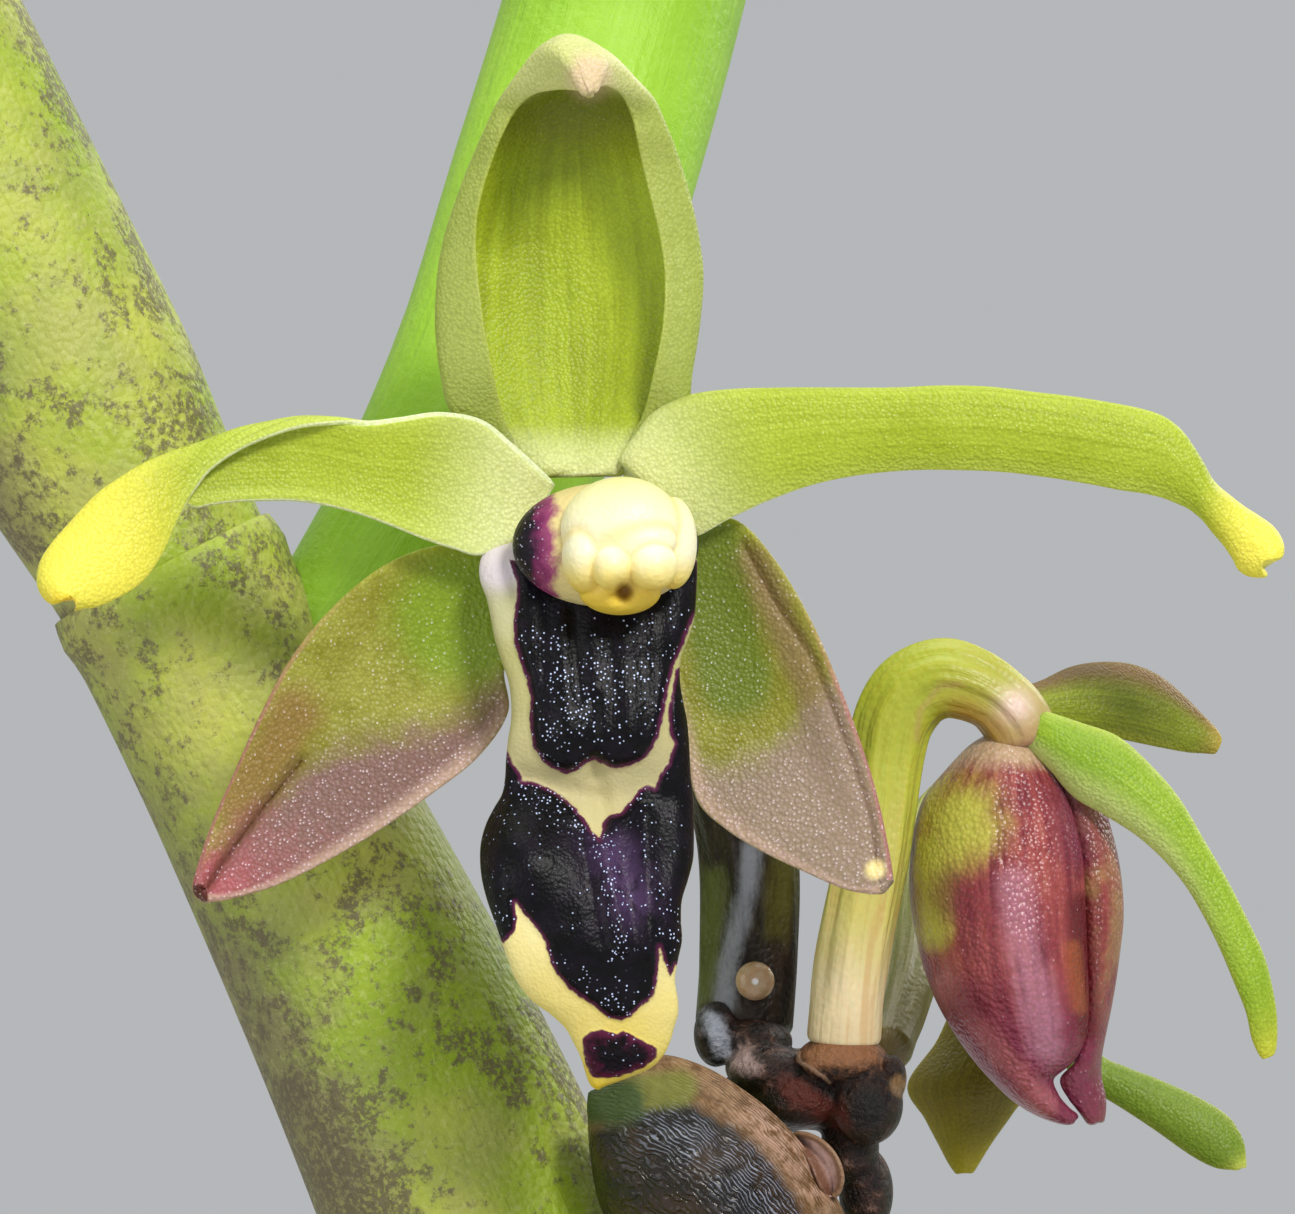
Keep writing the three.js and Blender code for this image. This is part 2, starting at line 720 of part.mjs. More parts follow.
// Each flower's own stalk runs from the spike to the back of its flower
const STALKS = [
  [
    [2.42, 4.5, -9.15],
    [2.55, 4.8, -7.6],
    [2.5, 4.6, -5.6],
    [1.75, 3.8, -3.2],
    [0.75, 2.6, -1.3],
    [0.1, 1.45, -0.1],
  ],
  [
    [4.08, 3, -8.85],
    [4.3, 3, -7.3],
    [4.4, 3, -6.3],
    [4.55, 3, -5],
    [4.75, 3.05, -4],
    [5.1, 3.1, -3.4],
    [5.75, 3.1, -3],
    [6.3, 3.15, -3.12],
  ],
  [
    [4.9, 4.6, -9.5],
    [5.02, 5.6, -8.85],
    [5.3, 6.8, -8.1],
    [5.5, 8.2, -7.4],
    [5.7, 9.4, -6.55],
    [5.98, 10.6, -5.85],
    [6.5, 11.6, -5.2],
    [6.85, 11.95, -5.05],
  ],
];

function spikeTube(grown) {
  const points = [
    [0.5, 4.9, -14.6],
    [1.5, 4.8, -12.6],
    [2.3, 4.4, -10.6],
    [3.3, 3.8, -10],
    [4.3, 3.6, -10.05],
    [5, 3.9, -10.3],
  ];
  const spike = curveThrough(near(points));
  const knobs = (d) => grown + 0.78 + 0.14 * Math.cos((2 * Math.PI * d) / 2.4);
  return tube(spike, spaced(0, spike.getLength(), 16), knobs);
}

// The papery scales on the spike: x, y, z, half width, bow
const HUSK = [
  [0.2, 3, -9.9, 0.6, -50],
  [1.2, 2.6, -10.5, 1.35, -65],
  [2.3, 2.2, -11.3, 1.7, -70],
  [3.4, 2.1, -12.4, 1.35, -65],
  [4.2, 2.3, -13.5, 0.3, -40],
];
const SCALE = [
  [3.7, 2.5, -10.95, 0.3, -50],
  [4.15, 2.1, -11.15, 0.5, -50],
  [4.6, 2.1, -11.6, 0.15, -50],
];

function addSpike() {
  add("flower_spike", spikeTube(0), SPIKE_BROWN);
  STALKS.forEach((points, i) => {
    const curve = curveThrough(near(points));
    const length = curve.getLength();
    const stalk = tube(curve, spaced(0, length, 9), (d) => 0.6 + 0.1 * (d / length));
    add(`flower_stalk_${i + 1}`, stalk, STALK_TAN);
  });
  const { x, y, z } = FLOWER;
  add("spike_bract", blade(HUSK, [-0.6, 0, -0.75], 0.3, 7, 6).translate(x, y, z), SPIKE_BROWN);
  add("small_bract", blade(SCALE, [0.6, 0, 0.7], 0.22, 3, 4).translate(x, y, z), SPIKE_BROWN);
  const drop = new THREE.SphereGeometry(0.3, 10, 8);
  add("sap_drop", drop.translate(x + 2.58, y + 3.85, z - 8), SAP_AMBER);
}

addPot();
let bed = barkBed();
for (const cane of CANES) {
  const cuts = cane.name === "cane_1" ? [solidOf(spikeTube(GAP))] : [];
  bed = bed.subtract(solidOf(addCane(cane, cuts)));
}
ROOTS.forEach((points, i) => {
  add(`root_${i + 1}`, rootTube(points, 0), ROOT_GREY);
  bed = bed.subtract(solidOf(rootTube(points, 0.3)));
});
add("potting_bark", geometryOf(largest(bed)), BARK_BROWN);

addSpike();
const { x, y, z } = FLOWER;
const INSIDE = placeOf([0, 0.1, -1.9], 78, 0.28); // the small lip and column inside a pod
addFlower(1, OPEN, placeOf([x, y, z], 0, 1), placeOf([0, 0, 0], 0, 1));
addFlower(2, CLOSED, placeOf([x + 7, y + 3.3, z - 3.6], 0, 1), INSIDE);
addFlower(3, BEHIND, placeOf([x + 7.32, y + 12, z - 5.26], 60, 0.75), INSIDE);

export default plant;
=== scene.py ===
import math

import bpy
import numpy as np
from mathutils import Euler, Matrix, Vector


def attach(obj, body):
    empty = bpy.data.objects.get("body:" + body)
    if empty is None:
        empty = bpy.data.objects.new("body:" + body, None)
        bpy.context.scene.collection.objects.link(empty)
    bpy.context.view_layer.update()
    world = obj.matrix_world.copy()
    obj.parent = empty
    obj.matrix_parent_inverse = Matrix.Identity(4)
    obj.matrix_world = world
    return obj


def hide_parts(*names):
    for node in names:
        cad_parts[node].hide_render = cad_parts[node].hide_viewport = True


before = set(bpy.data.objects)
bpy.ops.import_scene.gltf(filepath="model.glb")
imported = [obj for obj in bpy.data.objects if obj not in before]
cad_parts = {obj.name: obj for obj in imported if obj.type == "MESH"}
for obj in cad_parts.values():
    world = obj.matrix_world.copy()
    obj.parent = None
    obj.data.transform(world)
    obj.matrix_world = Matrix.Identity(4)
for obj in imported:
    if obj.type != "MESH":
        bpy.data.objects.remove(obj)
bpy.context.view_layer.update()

MM = 0.001

# The pot: plain fired clay with a rolled band at its rim and three drain holes in its floor. It is drawn up
# from one ring, ring by ring, up the outside, over the rim and down the inside, as on a potter's wheel.

POT_RINGS = [  # radius and height in mm
    (37.0, 0), (37.7, 0.3), (38.0, 1.2), (39.2, 8), (41.3, 20), (43.7, 33), (46.1, 47), (48.4, 60), (50.6, 73),
    (52.6, 74.6), (55.4, 74.6), (57.2, 75.2), (57.9, 76.6), (57.6, 79), (57.7, 83), (57.9, 87), (58.0, 90),
    (57.3, 91.5), (55.8, 92), (53.6, 91.9), (52.2, 91.2), (51.6, 89.6), (50.4, 80), (47.4, 72), (40.9, 38),
    (33.4, 7.2), (32.4, 6.1),
]
DRAIN_RADIUS = 4.5
DRAIN_CIRCLE = 20  # the radius on which the drain holes stand
SOFT_EDGE = 0.35


def alone(piece):
    """Makes one object the only one selected, and the active one."""
    bpy.ops.object.select_all(action="DESELECT")
    piece.select_set(True)
    bpy.context.view_layer.objects.active = piece


def finished(piece, kind, **settings):
    """Adds a modifier and applies it."""
    alone(piece)
    modifier = piece.modifiers.new(kind.title(), kind)
    for name, value in settings.items():
        setattr(modifier, name, value)
    bpy.ops.object.modifier_apply(modifier=modifier.name)


def fitted(piece, name, material, slot, *nodes):
    """Names a finished piece, gives it its finish, and says which CAD nodes it stands for."""
    piece.name = name
    piece.data.name = name
    piece.data.materials.clear()
    piece.data.materials.append(material)
    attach(piece, "root")
    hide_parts(*nodes)


def drawn_up(rings, around):
    """A solid drawn up from a disc, ring by ring: each ring has a radius and a height in mm."""
    bpy.ops.object.select_all(action="DESELECT")
    radius, height = rings[0]
    spot = (0, 0, height * MM)
    bpy.ops.mesh.primitive_circle_add(vertices=around, radius=radius * MM, fill_type="NGON", location=spot)
    piece = bpy.context.object
    bpy.ops.object.mode_set(mode="EDIT")
    bpy.ops.mesh.select_all(action="SELECT")
    for (radius, height), (wider, higher) in zip(rings, rings[1:]):
        rise = {"value": (0, 0, (higher - height) * MM)}
        bpy.ops.mesh.extrude_region_move(TRANSFORM_OT_translate=rise)
        grow = wider / radius
        bpy.ops.transform.resize(value=(grow, grow, 1), center_override=(0, 0, higher * MM))
    bpy.ops.object.mode_set(mode="OBJECT")
    piece.data.transform(Matrix.Translation(piece.location))
    piece.location = (0, 0, 0)
    return piece


def faced_out(piece):
    """Turns every face of a piece outwards."""
    alone(piece)
    bpy.ops.object.mode_set(mode="EDIT")
    bpy.ops.mesh.select_all(action="SELECT")
    bpy.ops.mesh.normals_make_consistent(inside=False)
    bpy.ops.object.mode_set(mode="OBJECT")


pot = drawn_up(POT_RINGS, 128)
faced_out(pot)
for i in range(3):
    turn = 2 * math.pi * i / 3 + math.pi / 6
    spot = (DRAIN_CIRCLE * MM * math.cos(turn), DRAIN_CIRCLE * MM * math.sin(turn), 3 * MM)
    bpy.ops.mesh.primitive_cylinder_add(vertices=32, radius=DRAIN_RADIUS * MM, depth=20 * MM, location=spot)
    drill = bpy.context.object
    finished(pot, "BOOLEAN", operation="DIFFERENCE", object=drill, solver="EXACT")
    bpy.data.objects.remove(drill)
finished(pot, "BEVEL", width=SOFT_EDGE * MM, segments=2, limit_method="ANGLE", angle_limit=math.radians(40))
alone(pot)
bpy.ops.object.shade_smooth_by_angle(angle=math.radians(50))


class Wire:
    """One output of a material's nodes. Sums and products of wires, and of wires and numbers, add Math nodes."""

    def __init__(self, tree, socket=None):
        self.tree = tree
        self.socket = socket

    def node(self, kind, settings, values, output=0):
        """Adds a node: its settings are set first, then the value or wire of each of its inputs."""
        made = self.tree.nodes.new("ShaderNode" + kind)
        for name, value in settings.items():
            if name == "stops":
                ramp = made.color_ramp
                while len(ramp.elements) < len(value):
                    ramp.elements.new(0.5)
                for element, (place, colour) in zip(ramp.elements, value):
                    element.position = place
                    element.color = (*colour, 1)
            else:
                setattr(made, name, value)
        for name, value in values.items():
            if isinstance(value, Wire):
                self.tree.links.new(value.socket, made.inputs[name])
            elif isinstance(value, tuple) and made.inputs[name].type == "RGBA":
                made.inputs[name].default_value = (*value, 1)
            else:
                made.inputs[name].default_value = value
        return Wire(self.tree, made.outputs[output] if made.outputs else None)

    def maths(self, operation, first, second=0.0):
        return self.node("Math", {"operation": operation}, {0: first, 1: second})

    def __add__(self, other):
        return self.maths("ADD", self, other)

    def __sub__(self, other):
        return self.maths("SUBTRACT", self, other)

    def __rsub__(self, other):
        return self.maths("SUBTRACT", other, self)

    def __mul__(self, other):
        return self.maths("MULTIPLY", self, other)

    __radd__ = __add__

    def over(self, low, high):
        """0 where this is below low, 1 where it is above high, and smooth between them."""
        settings = {"interpolation_type": "SMOOTHSTEP"}
        return self.node("MapRange", settings, {"Value": self, "From Min": low, "From Max": high})

    def tint(self, colour, other):
        """One colour where this is 0, the other where it is 1."""
        settings = {"data_type": "RGBA", "clamp_factor": True}
        return self.node("Mix", settings, {0: self, 6: colour, 7: other}, 2)

    def ramp(self, *stops):
        """Colours along this value, from 0 to 1."""
        return self.node("ValToRGB", {"stops": stops}, {0: self})


class Finish(Wire):
    """A material. Its patterns read the piece's own coordinates in mm, or numbers painted on its mesh."""

    def __init__(self, name):
        self.material = bpy.data.materials.new(name)
        self.material.use_nodes = True
        super().__init__(self.material.node_tree)
        self.tree.nodes.clear()
        self.object = self.node("TexCoord", {}, {}, 3)
        self.place = self.scaled(1, 1, 1)

    def scaled(self, x, y, z):
        """The piece's coordinates in mm, each axis stretched."""
        return self.node("Mapping", {}, {"Vector": self.object, "Scale": (x / MM, y / MM, z / MM)})

    def axis(self, which):
        """One of the piece's coordinates, in mm."""
        return self.node("SeparateXYZ", {}, {0: self.place}, which)

    def cloud(self, size, detail=3, place=None, roughness=0.55):
        """Noise whose lumps are about `size` across."""
        values = {"Vector": place or self.place, "Scale": 1 / size, "Detail": detail, "Roughness": roughness}
        return self.node("TexNoise", {}, values)

    def cells(self, size, place=None, output=0):
        """Round cells `size` across: the distance from their middles, or their colours."""
        values = {"Vector": place or self.place, "Scale": 1 / size}
        return self.node("TexVoronoi", {}, values, output)

    def stretched(self, x, y, z, vector="grain"):
        """A vector painted on the mesh, each axis stretched."""
        return self.node("Mapping", {}, {"Vector": self.painted(vector, 1), "Scale": (x, y, z)})

    def painted_highlights(self, size, share, near=0.16, far=0.34, soft=0.12):
        """Painted highlights: crystals `size` apart, of which a share are coloured pale as if they shone, each out
        to between `near` and `far` of its middle.
        """
        chance = self.node("SeparateColor", {}, {0: self.cells(size, output=1)})
        return (1 - self.cells(size).over(near, far)) * (chance + share - 1).over(0.0, soft)

    def painted(self, name, output=2):
        """A number, or with output 1 a vector, painted on the mesh."""
        return self.node("Attribute", {"attribute_name": name}, {}, output)

    def frayed(self, name, noise, much=0.3):
        """A painted number with its edge frayed by noise."""
        return self.painted(name) + noise * much - much / 2

    def bumped(self, height, depth, under=None):
        """A relief `depth` mm high."""
        values = {"Height": height, "Distance": depth * MM}
        if under:
            values["Normal"] = under
        return self.node("Bump", {}, values)

    def skin(self, **values):
        """The surface itself."""
        named = {name.replace("_", " "): value for name, value in values.items()}
        self.node("OutputMaterial", {}, {0: self.node("BsdfPrincipled", {}, named)})
        return self.material


clay = Finish("fired_clay")
mottle = clay.cloud(16, 5)
grit = clay.cloud(0.5, 4, roughness=0.7)
rings = clay.cloud(1.6, 3, clay.scaled(0.04, 0.04, 1))
# a pale lime bloom near the rim: the clay's own colour
bloom = clay.axis(2).over(66, 92) * clay.cloud(7, 5).over(0.42, 0.68)
foot = (1 - clay.axis(2).over(2, 26)) * clay.cloud(9, 5).over(0.38, 0.7)
body = (mottle * 0.6 + rings * 0.4).over(0.32, 0.66).tint((0.36, 0.115, 0.05), (0.56, 0.225, 0.115))
body = (bloom * 0.55).tint(body, (0.66, 0.50, 0.40))
body = (foot * 0.6).tint(body, (0.24, 0.10, 0.055))
body = (grit.over(0.62, 0.74) * 0.5).tint(body, (0.70, 0.42, 0.28))
clay.skin(
    Base_Color=body,
    Roughness=0.82 + mottle * 0.14,
    Normal=clay.bumped(grit, 0.12, clay.bumped(rings, 0.35)),
    Specular_IOR_Level=0.25,
)
fitted(pot, "clay_pot", clay.material, "pot_clay", "pot")

# The potting bark: coarse chips of fir bark in a bed that fills the pot to just below its band. A few chips
# are split and worn from blocks, and then laid again and again over a dark bed, flat or on edge.

BED_TOP = 80
BED_RINGS = [(33, 7), (40.4, 38), (46.9, 72), (47.2, 77), (1, 78)]  # radius and height in mm
FEET = [(20, -4.5), (-14, 12), (31, 16)]  # where the canes stand
CLEAR = 6  # no chip lies on top this close to a cane
CHIPS, FLAT_CHIPS = 430, 300  # how many there are, and how many of them lie flat in the bed
GOLDEN_TURN = 2.399963
rng = np.random.default_rng(41)


def paint(piece, name, values):
    """Stores a number or a vector at each point of a mesh."""
    values = np.asarray(values, dtype=np.float32)
    single = values.ndim == 1
    layer = piece.data.attributes.new(name, "FLOAT" if single else "FLOAT_VECTOR", "POINT")
    layer.data.foreach_set("value" if single else "vector", values.ravel())


def points_of(piece):
    points = np.empty(len(piece.data.vertices) * 3)
    piece.data.vertices.foreach_get("co", points)
    return points.reshape(-1, 3)


chips = []
for kind in range(7):
    bpy.ops.object.select_all(action="DESELECT")
    bpy.ops.mesh.primitive_cube_add(size=1)
    chip = bpy.context.object
    size = rng.uniform((9, 6, 2.6), (15, 9.5, 5))
    bpy.ops.object.mode_set(mode="EDIT")
    bpy.ops.mesh.select_all(action="SELECT")
    bpy.ops.transform.resize(value=tuple(size * MM))
    bpy.ops.mesh.subdivide(number_cuts=3)
    bpy.ops.transform.vertex_random(offset=0.8 * MM, uniform=1.0, normal=0.0, seed=kind + 1)
    bpy.ops.mesh.vertices_smooth(factor=0.35, repeat=1)
    bpy.ops.object.mode_set(mode="OBJECT")
    chips.append(chip)

bed = drawn_up(BED_RINGS, 96)
paint(bed, "shade", np.full(len(bed.data.vertices), 0.0))
paint(bed, "grain", points_of(bed) / MM)

laid = [bed]
for i in range(CHIPS):
    flat = i < FLAT_CHIPS
    chip = chips[i % len(chips)]
    ring = 46.5 * math.sqrt((i + 0.5) / CHIPS) if flat else 47.5 * math.sqrt(rng.uniform(0, 1))
    turn = i * GOLDEN_TURN + rng.uniform(-0.2, 0.2)
    x, y = ring * math.cos(turn), ring * math.sin(turn)
    crowd = min(math.hypot(x - a, y - b) for a, b in FEET)
    lean = rng.uniform(-1, 1, 2) * (0.30 if flat else 0.75)
    lift = rng.uniform(-1.5, 2.2) if flat else rng.uniform(1.5, 4.6)
    if not flat and crowd < CLEAR:
        continue
    shrink = rng.uniform(0.55, 1.0) * (0.8 if ring > 40 else 1)
    tilt = Euler((lean[0], lean[1], rng.uniform(0, 2 * math.pi))).to_matrix().to_4x4()
    spot = Matrix.Translation(Vector((x, y, BED_TOP - 1.5 + lift)) * MM) @ tilt @ Matrix.Scale(shrink, 4)
    copy = chip.copy()
    copy.data = chip.data.copy()
    bpy.context.collection.objects.link(copy)
    paint(copy, "shade", np.full(len(copy.data.vertices), rng.uniform(0.15, 1)))
    paint(copy, "grain", points_of(copy) / MM + rng.uniform(0, 900, 3))
    copy.data.transform(spot)
    laid.append(copy)
for chip in chips:
    bpy.data.objects.remove(chip)
bpy.ops.object.select_all(action="DESELECT")
for chip in laid:
    chip.select_set(True)
bpy.context.view_layer.objects.active = bed
bpy.ops.object.join()

bark = Finish("fir_bark")
fibre = bark.stretched(0.16, 1.1, 2.6)
strand = bark.cloud(1, 5, fibre, 0.65)
flake = bark.cells(1.7, bark.stretched(0.4, 1, 1))
shade = bark.painted("shade")
brown = (shade * 0.75 + strand * 0.5 - 0.2).ramp(
    (0.0, (0.018, 0.010, 0.006)), (0.35, (0.085, 0.040, 0.020)), (0.65, (0.20, 0.095, 0.045)),
    (1.0, (0.36, 0.20, 0.11))
)
brown = (bark.cloud(5, 4).over(0.6, 0.75) * 0.5).tint(brown, (0.17, 0.16, 0.12))
bark.skin(
    Base_Color=brown,
    Roughness=0.78 + strand * 0.2,
    Normal=bark.bumped(strand, 0.8, bark.bumped(flake, 0.4)),
    Specular_IOR_Level=0.3,
)
fitted(bed, "bark_chips", bark.material, "potting_bark", "potting_bark")

# The canes: slim stems wrapped from foot to tip in leaf sheaths, one to an internode. Only a stem's tip shows.
# Each is a ball drawn out along its line, tapering towards its tip, with a slight swelling just below it.


def course(points, steps=500):
    """Even steps along the smooth curve through points, and its length."""
    rows = np.array(points, dtype=float)
    rows = np.vstack([2 * rows[0] - rows[1], rows, 2 * rows[-1] - rows[-2]])
    share = np.linspace(0, 1, 60)[:, None]
    pieces = []
    for a, b, c, d in zip(rows, rows[1:], rows[2:], rows[3:]):
        ab, bc, cd = (math.sqrt(np.linalg.norm(step)) for step in (b - a, c - b, d - c))
        start = ((b - a) / ab - (c - a) / (ab + bc) + (c - b) / bc) * bc
        end = ((c - b) / bc - (d - b) / (bc + cd) + (d - c) / cd) * bc
        pieces.append(
            b + start * share + (3 * (c - b) - 2 * start - end) * share**2 + (2 * (b - c) + start + end) * share**3
        )
    line = np.vstack([piece[:-1] for piece in pieces] + [rows[-2]])
    walked = np.concatenate([[0], np.cumsum(np.linalg.norm(np.diff(line, axis=0), axis=1))])
    even = np.linspace(0, walked[-1], steps)
    return np.stack([np.interp(even, walked, line[:, k]) for k in range(3)], axis=1), walked[-1]


def framed(line):
    """Two directions across a line at each of its points, without twist."""
    along = np.gradient(line, axis=0)
    along /= np.linalg.norm(along, axis=1)[:, None]
    side = np.empty_like(line)
    last = np.array([0.0, -1.0, 0.0]) if abs(along[0][1]) < 0.9 else np.array([1.0, 0.0, 0.0])
    for i, way in enumerate(along):
        last = last - way * last.dot(way)
        last /= np.linalg.norm(last)
        side[i] = last
    return along, side, np.cross(along, side)


def ball(around, rings, place, **painted):
    """A ball whose points are moved to place(t, turn), in mm: t is 0 at its foot and 1 at its top. What
    `painted` gives for the same t, turn and point is stored on the mesh."""
    bpy.ops.object.select_all(action="DESELECT")
    bpy.ops.mesh.primitive_uv_sphere_add(segments=around, ring_count=rings, radius=1)
    piece = bpy.context.object
    start = points_of(piece)
    t = np.arccos(np.clip(-start[:, 2], -1, 1)) / math.pi
    turn = np.arctan2(start[:, 1], start[:, 0])
    spots = place(t, turn)
    piece.data.vertices.foreach_set("co", (spots * MM).ravel())
    for name, worth in painted.items():
        paint(piece, name, worth(t, turn, spots))
    faced_out(piece)
    bpy.ops.object.shade_smooth()
    return piece


def tube(points, radius, around=20, rings=60, caps=(1.0, 1.0), section=None, **painted):
    """A closed tube along a curve, rounded at its ends. `radius` is a function of the distance walked, and
    `section` of that distance and the turn about the line: both give mm. Its grain runs along it."""
    line, length = course(points)
    _, side, other = framed(line)
    walked = np.linspace(0, length, len(line))
    share = 0.14

    def distance(t):
        foot, top = np.clip(t / share, 0, 1), np.clip((1 - t) / share, 0, 1)
        middle = np.clip((t - share) / (1 - 2 * share), 0, 1)
        into = caps[0] * (1 - np.cos(foot * math.pi / 2))
        left = caps[1] * np.cos(top * math.pi / 2)
        return into + (length - caps[0] - caps[1]) * middle + left

    def place(t, turn):
        s = distance(t)
        foot, top = np.clip(t / share, 0, 1), np.clip((1 - t) / share, 0, 1)
        reach = radius(s) + (section(s, turn) if section else 0)
        reach = reach * np.sin(foot * math.pi / 2) * np.sin(top * math.pi / 2)
        centre, a, b = (
            np.stack([np.interp(s, walked, rows[:, k]) for k in range(3)], axis=1) for rows in (line, side, other)
        )
        return centre + reach[:, None] * (np.cos(turn)[:, None] * a + np.sin(turn)[:, None] * b)

    def grain(t, turn, spots):
        s = distance(t)
        return np.stack([radius(s) * np.cos(turn), radius(s) * np.sin(turn), s], axis=1)

    return ball(around, rings, place, grain=grain, **painted)


def over(low, high, x):
    """0 below low, 1 above high, and smooth between them."""
    x = np.clip((np.asarray(x, dtype=float) - low) / (high - low), 0, 1)
    return x * x * (3 - 2 * x)


CANES = {
    1: {
        "line": [
            (20, -4.5, 74), (18.6, -5.5, 97), (15, -7, 127), (9.3, -8, 150), (5.65, -8.4, 160.1),
            (2.7, -8.5, 166.4), (0.65, -8.5, 170.4), (-1.2, -8.5, 173.9), (-6.5, -8, 185), (-15.5, -6, 206),
            (-24, -3, 230), (-31, 1, 256), (-35, 4, 279),
        ],
        "joints": [76, 97, 114, 132, 150.5, 170.4, 189, 207.5, 226, 244, 260, 273],
        "radius": 2.15,
        "leaves": [  # length, compass angle, angle from the cane, rise, all in mm or degrees; or its own line
            None, None, (62, 30, 60, 0.12), (74, 200, 62, 0.2),
            [
                (1.6, -8.4, 166.5), (3.9, -7.6, 169.6), (6.1, -6.5, 173.4), (7.4, -4.5, 177.6), (8.5, -2.2, 181.6),
                (11, 4, 193), (15, 14, 214), (19.5, 26, 238), (22, 33, 252),
            ],
            (88, 205, 44, 0.2), (84, 40, 42, 0.1), (80, 190, 40, 0.15), (72, 60, 38, 0.1), (60, 215, 34, 0.12),
            (44, 35, 26, 0.1),
        ],
    },
    2: {
        "line": [(-14, 12, 74), (-16, 14, 98), (-20, 18, 124), (-26, 24, 150), (-33, 31, 174), (-39, 37, 194)],
        "joints": [76, 96, 115, 134, 153, 171, 187],
        "radius": 2.05,
        "leaves": [
            None, (70, 205, 56, 0.18), (82, 100, 46, 0.14), (84, 215, 44, 0.2), (72, 62, 44, 0.12),
            (52, 175, 30, 0.1),
        ],
    },
    3: {
        "line": [(31, 16, 74), (34, 19, 92), (39, 23, 112), (46, 28, 132), (52, 32, 148)],
        "joints": [76, 91, 107, 123, 139],
        "radius": 1.95,
        "leaves": [(60, 318, 52, 0.16), (74, 98, 46, 0.2), (70, 340, 42, 0.14), (54, 80, 30, 0.1)],
    },
}

green = Finish("young_stem")
green.skin(
    Base_Color=green.cloud(0.8, 4).over(0.35, 0.7).tint((0.20, 0.30, 0.03), (0.36, 0.42, 0.07)),
    Roughness=0.42 + green.cloud(0.4) * 0.2,
    Normal=green.bumped(green.cloud(0.12, 3), 0.03),
    Subsurface_Weight=0.15,
    Subsurface_Scale=0.0006,
)
for number, cane in CANES.items():
    _, length = course(cane["line"])

    def thin(s, length=length):
        bud = 0.15 * over(length - 12, length - 6, s) - 0.55 * over(length - 4, length, s)
        return 1.25 * (1 - 0.2 * s / length) + bud

    stem = tube(cane["line"], thin, 20, 110, (0.5, 1.2))
    fitted(stem, f"stem_{number}", green.material, "cane", f"cane_{number}")

# The sheaths and leaves: each internode is wrapped in a mottled sheath that ends in a thin rim, and a round
# fleshy leaf as thick as a pencil lead grows from the rim. The oldest sheaths at the foot are bare and dry.


def heights(cane):
    """The distances along a cane of its joints, and its line."""
    line, length = course(cane["line"])
    return np.interp(cane["joints"], line[:, 2], np.linspace(0, length, len(line))), line, length


def leaf_line(cane, at, leaf):
    """A leaf leaves the rim of its sheath, bends away from the cane, and rises again towards its tip."""
    if isinstance(leaf, list):
        return leaf
    length, compass, spread, rise = leaf[0], *np.radians(leaf[1:3]), leaf[3]
    _, line, total = heights(cane)
    tangents, _, _ = framed(line)
    row = int(round(at / total * (len(line) - 1)))
    mouth, up = line[row], tangents[row]
    out = np.array([math.cos(compass), math.sin(compass), 0])
    out -= up * out.dot(up)
    out /= np.linalg.norm(out)
    way = up * math.cos(spread) + out * math.sin(spread)
    path = [mouth - 4 * up + 0.4 * out]
    for far in (0.6, length * 0.2, length * 0.5, length * 0.8, length):
        path.append(mouth + 1.5 * out + way * far + np.array([0, 0, rise * length * (far / length) ** 1.6]))
    return path


leafy = Finish("sheath_and_leaf")
lines = leafy.cloud(0.16, 3, leafy.stretched(1, 1, 0.06))
lumps = leafy.cloud(4.5, 4)
patch = leafy.cloud(1.5, 5, roughness=0.65)
speck = leafy.cloud(0.34, 5, roughness=0.75)
dust = leafy.cloud(0.11, 3, roughness=0.7)
shade = leafy.painted("shade")
cluster = leafy.cloud(2.4, 4, roughness=0.6)
sheath = lumps.over(0.34, 0.66).tint((0.50, 0.52, 0.085), (0.28, 0.40, 0.010))
sheath = (patch.over(0.42, 0.60) * 0.30).tint(sheath, (0.30, 0.27, 0.13))
# painted shade with real brown: the side of each sheath facing away from the lamps is greyed brown
sheath = ((shade + patch * 0.4 - 0.2).over(0.0, 0.9) * 0.85).tint(sheath, (0.21, 0.17, 0.095))
sheath = (dust.over(0.50, 0.74) * 0.40).tint(sheath, (0.58, 0.58, 0.24))
dark = (cluster + speck + shade * 0.12).over(0.98, 1.12) * dust.over(0.36, 0.52)
sheath = (dark * 0.8).tint(sheath, (0.105, 0.072, 0.050))
blade = lumps.over(0.3, 0.7).tint((0.23, 0.46, 0.008), (0.32, 0.58, 0.025))
blade = (lines.over(0.45, 0.75) * 0.15).tint(blade, (0.44, 0.70, 0.10))
blade = (leafy.painted("age") * 0.75).tint(blade, (0.10, 0.22, 0.02))
blade = (leafy.painted("tip") * lumps.over(0.3, 0.6)).tint(blade, (0.26, 0.12, 0.06))
part = leafy.painted("blade")
stomata = (1 - leafy.cells(0.34).over(0.0, 0.16)) * part * 0.10
colour = stomata.tint(part.tint(sheath, blade), (0.62, 0.76, 0.30))
pebble = leafy.cells(0.15)
leafy.skin(
    Base_Color=colour,
    Roughness=0.40 + dust * 0.25 - part * 0.08,
    Normal=leafy.bumped(pebble * (1 - part * 0.7), -0.03, leafy.bumped(lines * 0.5 + speck * 0.6, 0.07)),
    Subsurface_Weight=0.12,
    Subsurface_Radius=(0.6, 1.0, 0.15),
    Subsurface_Scale=0.0009,
)

husk = Finish("dry_sheath")
fibres = husk.cloud(0.3, 4, husk.stretched(1, 1, 0.05), 0.7)
tan = (fibres * 0.7 + husk.cloud(3, 4) * 0.5).ramp(
    (0.3, (0.10, 0.065, 0.035)), (0.55, (0.30, 0.22, 0.12)), (0.8, (0.55, 0.46, 0.30))
)
husk.skin(
    Base_Color=husk.cloud(1.2, 5).over(0.58, 0.7).tint(tan, (0.06, 0.045, 0.035)),
    Roughness=0.8,
    Normal=husk.bumped(fibres, 0.25),
)
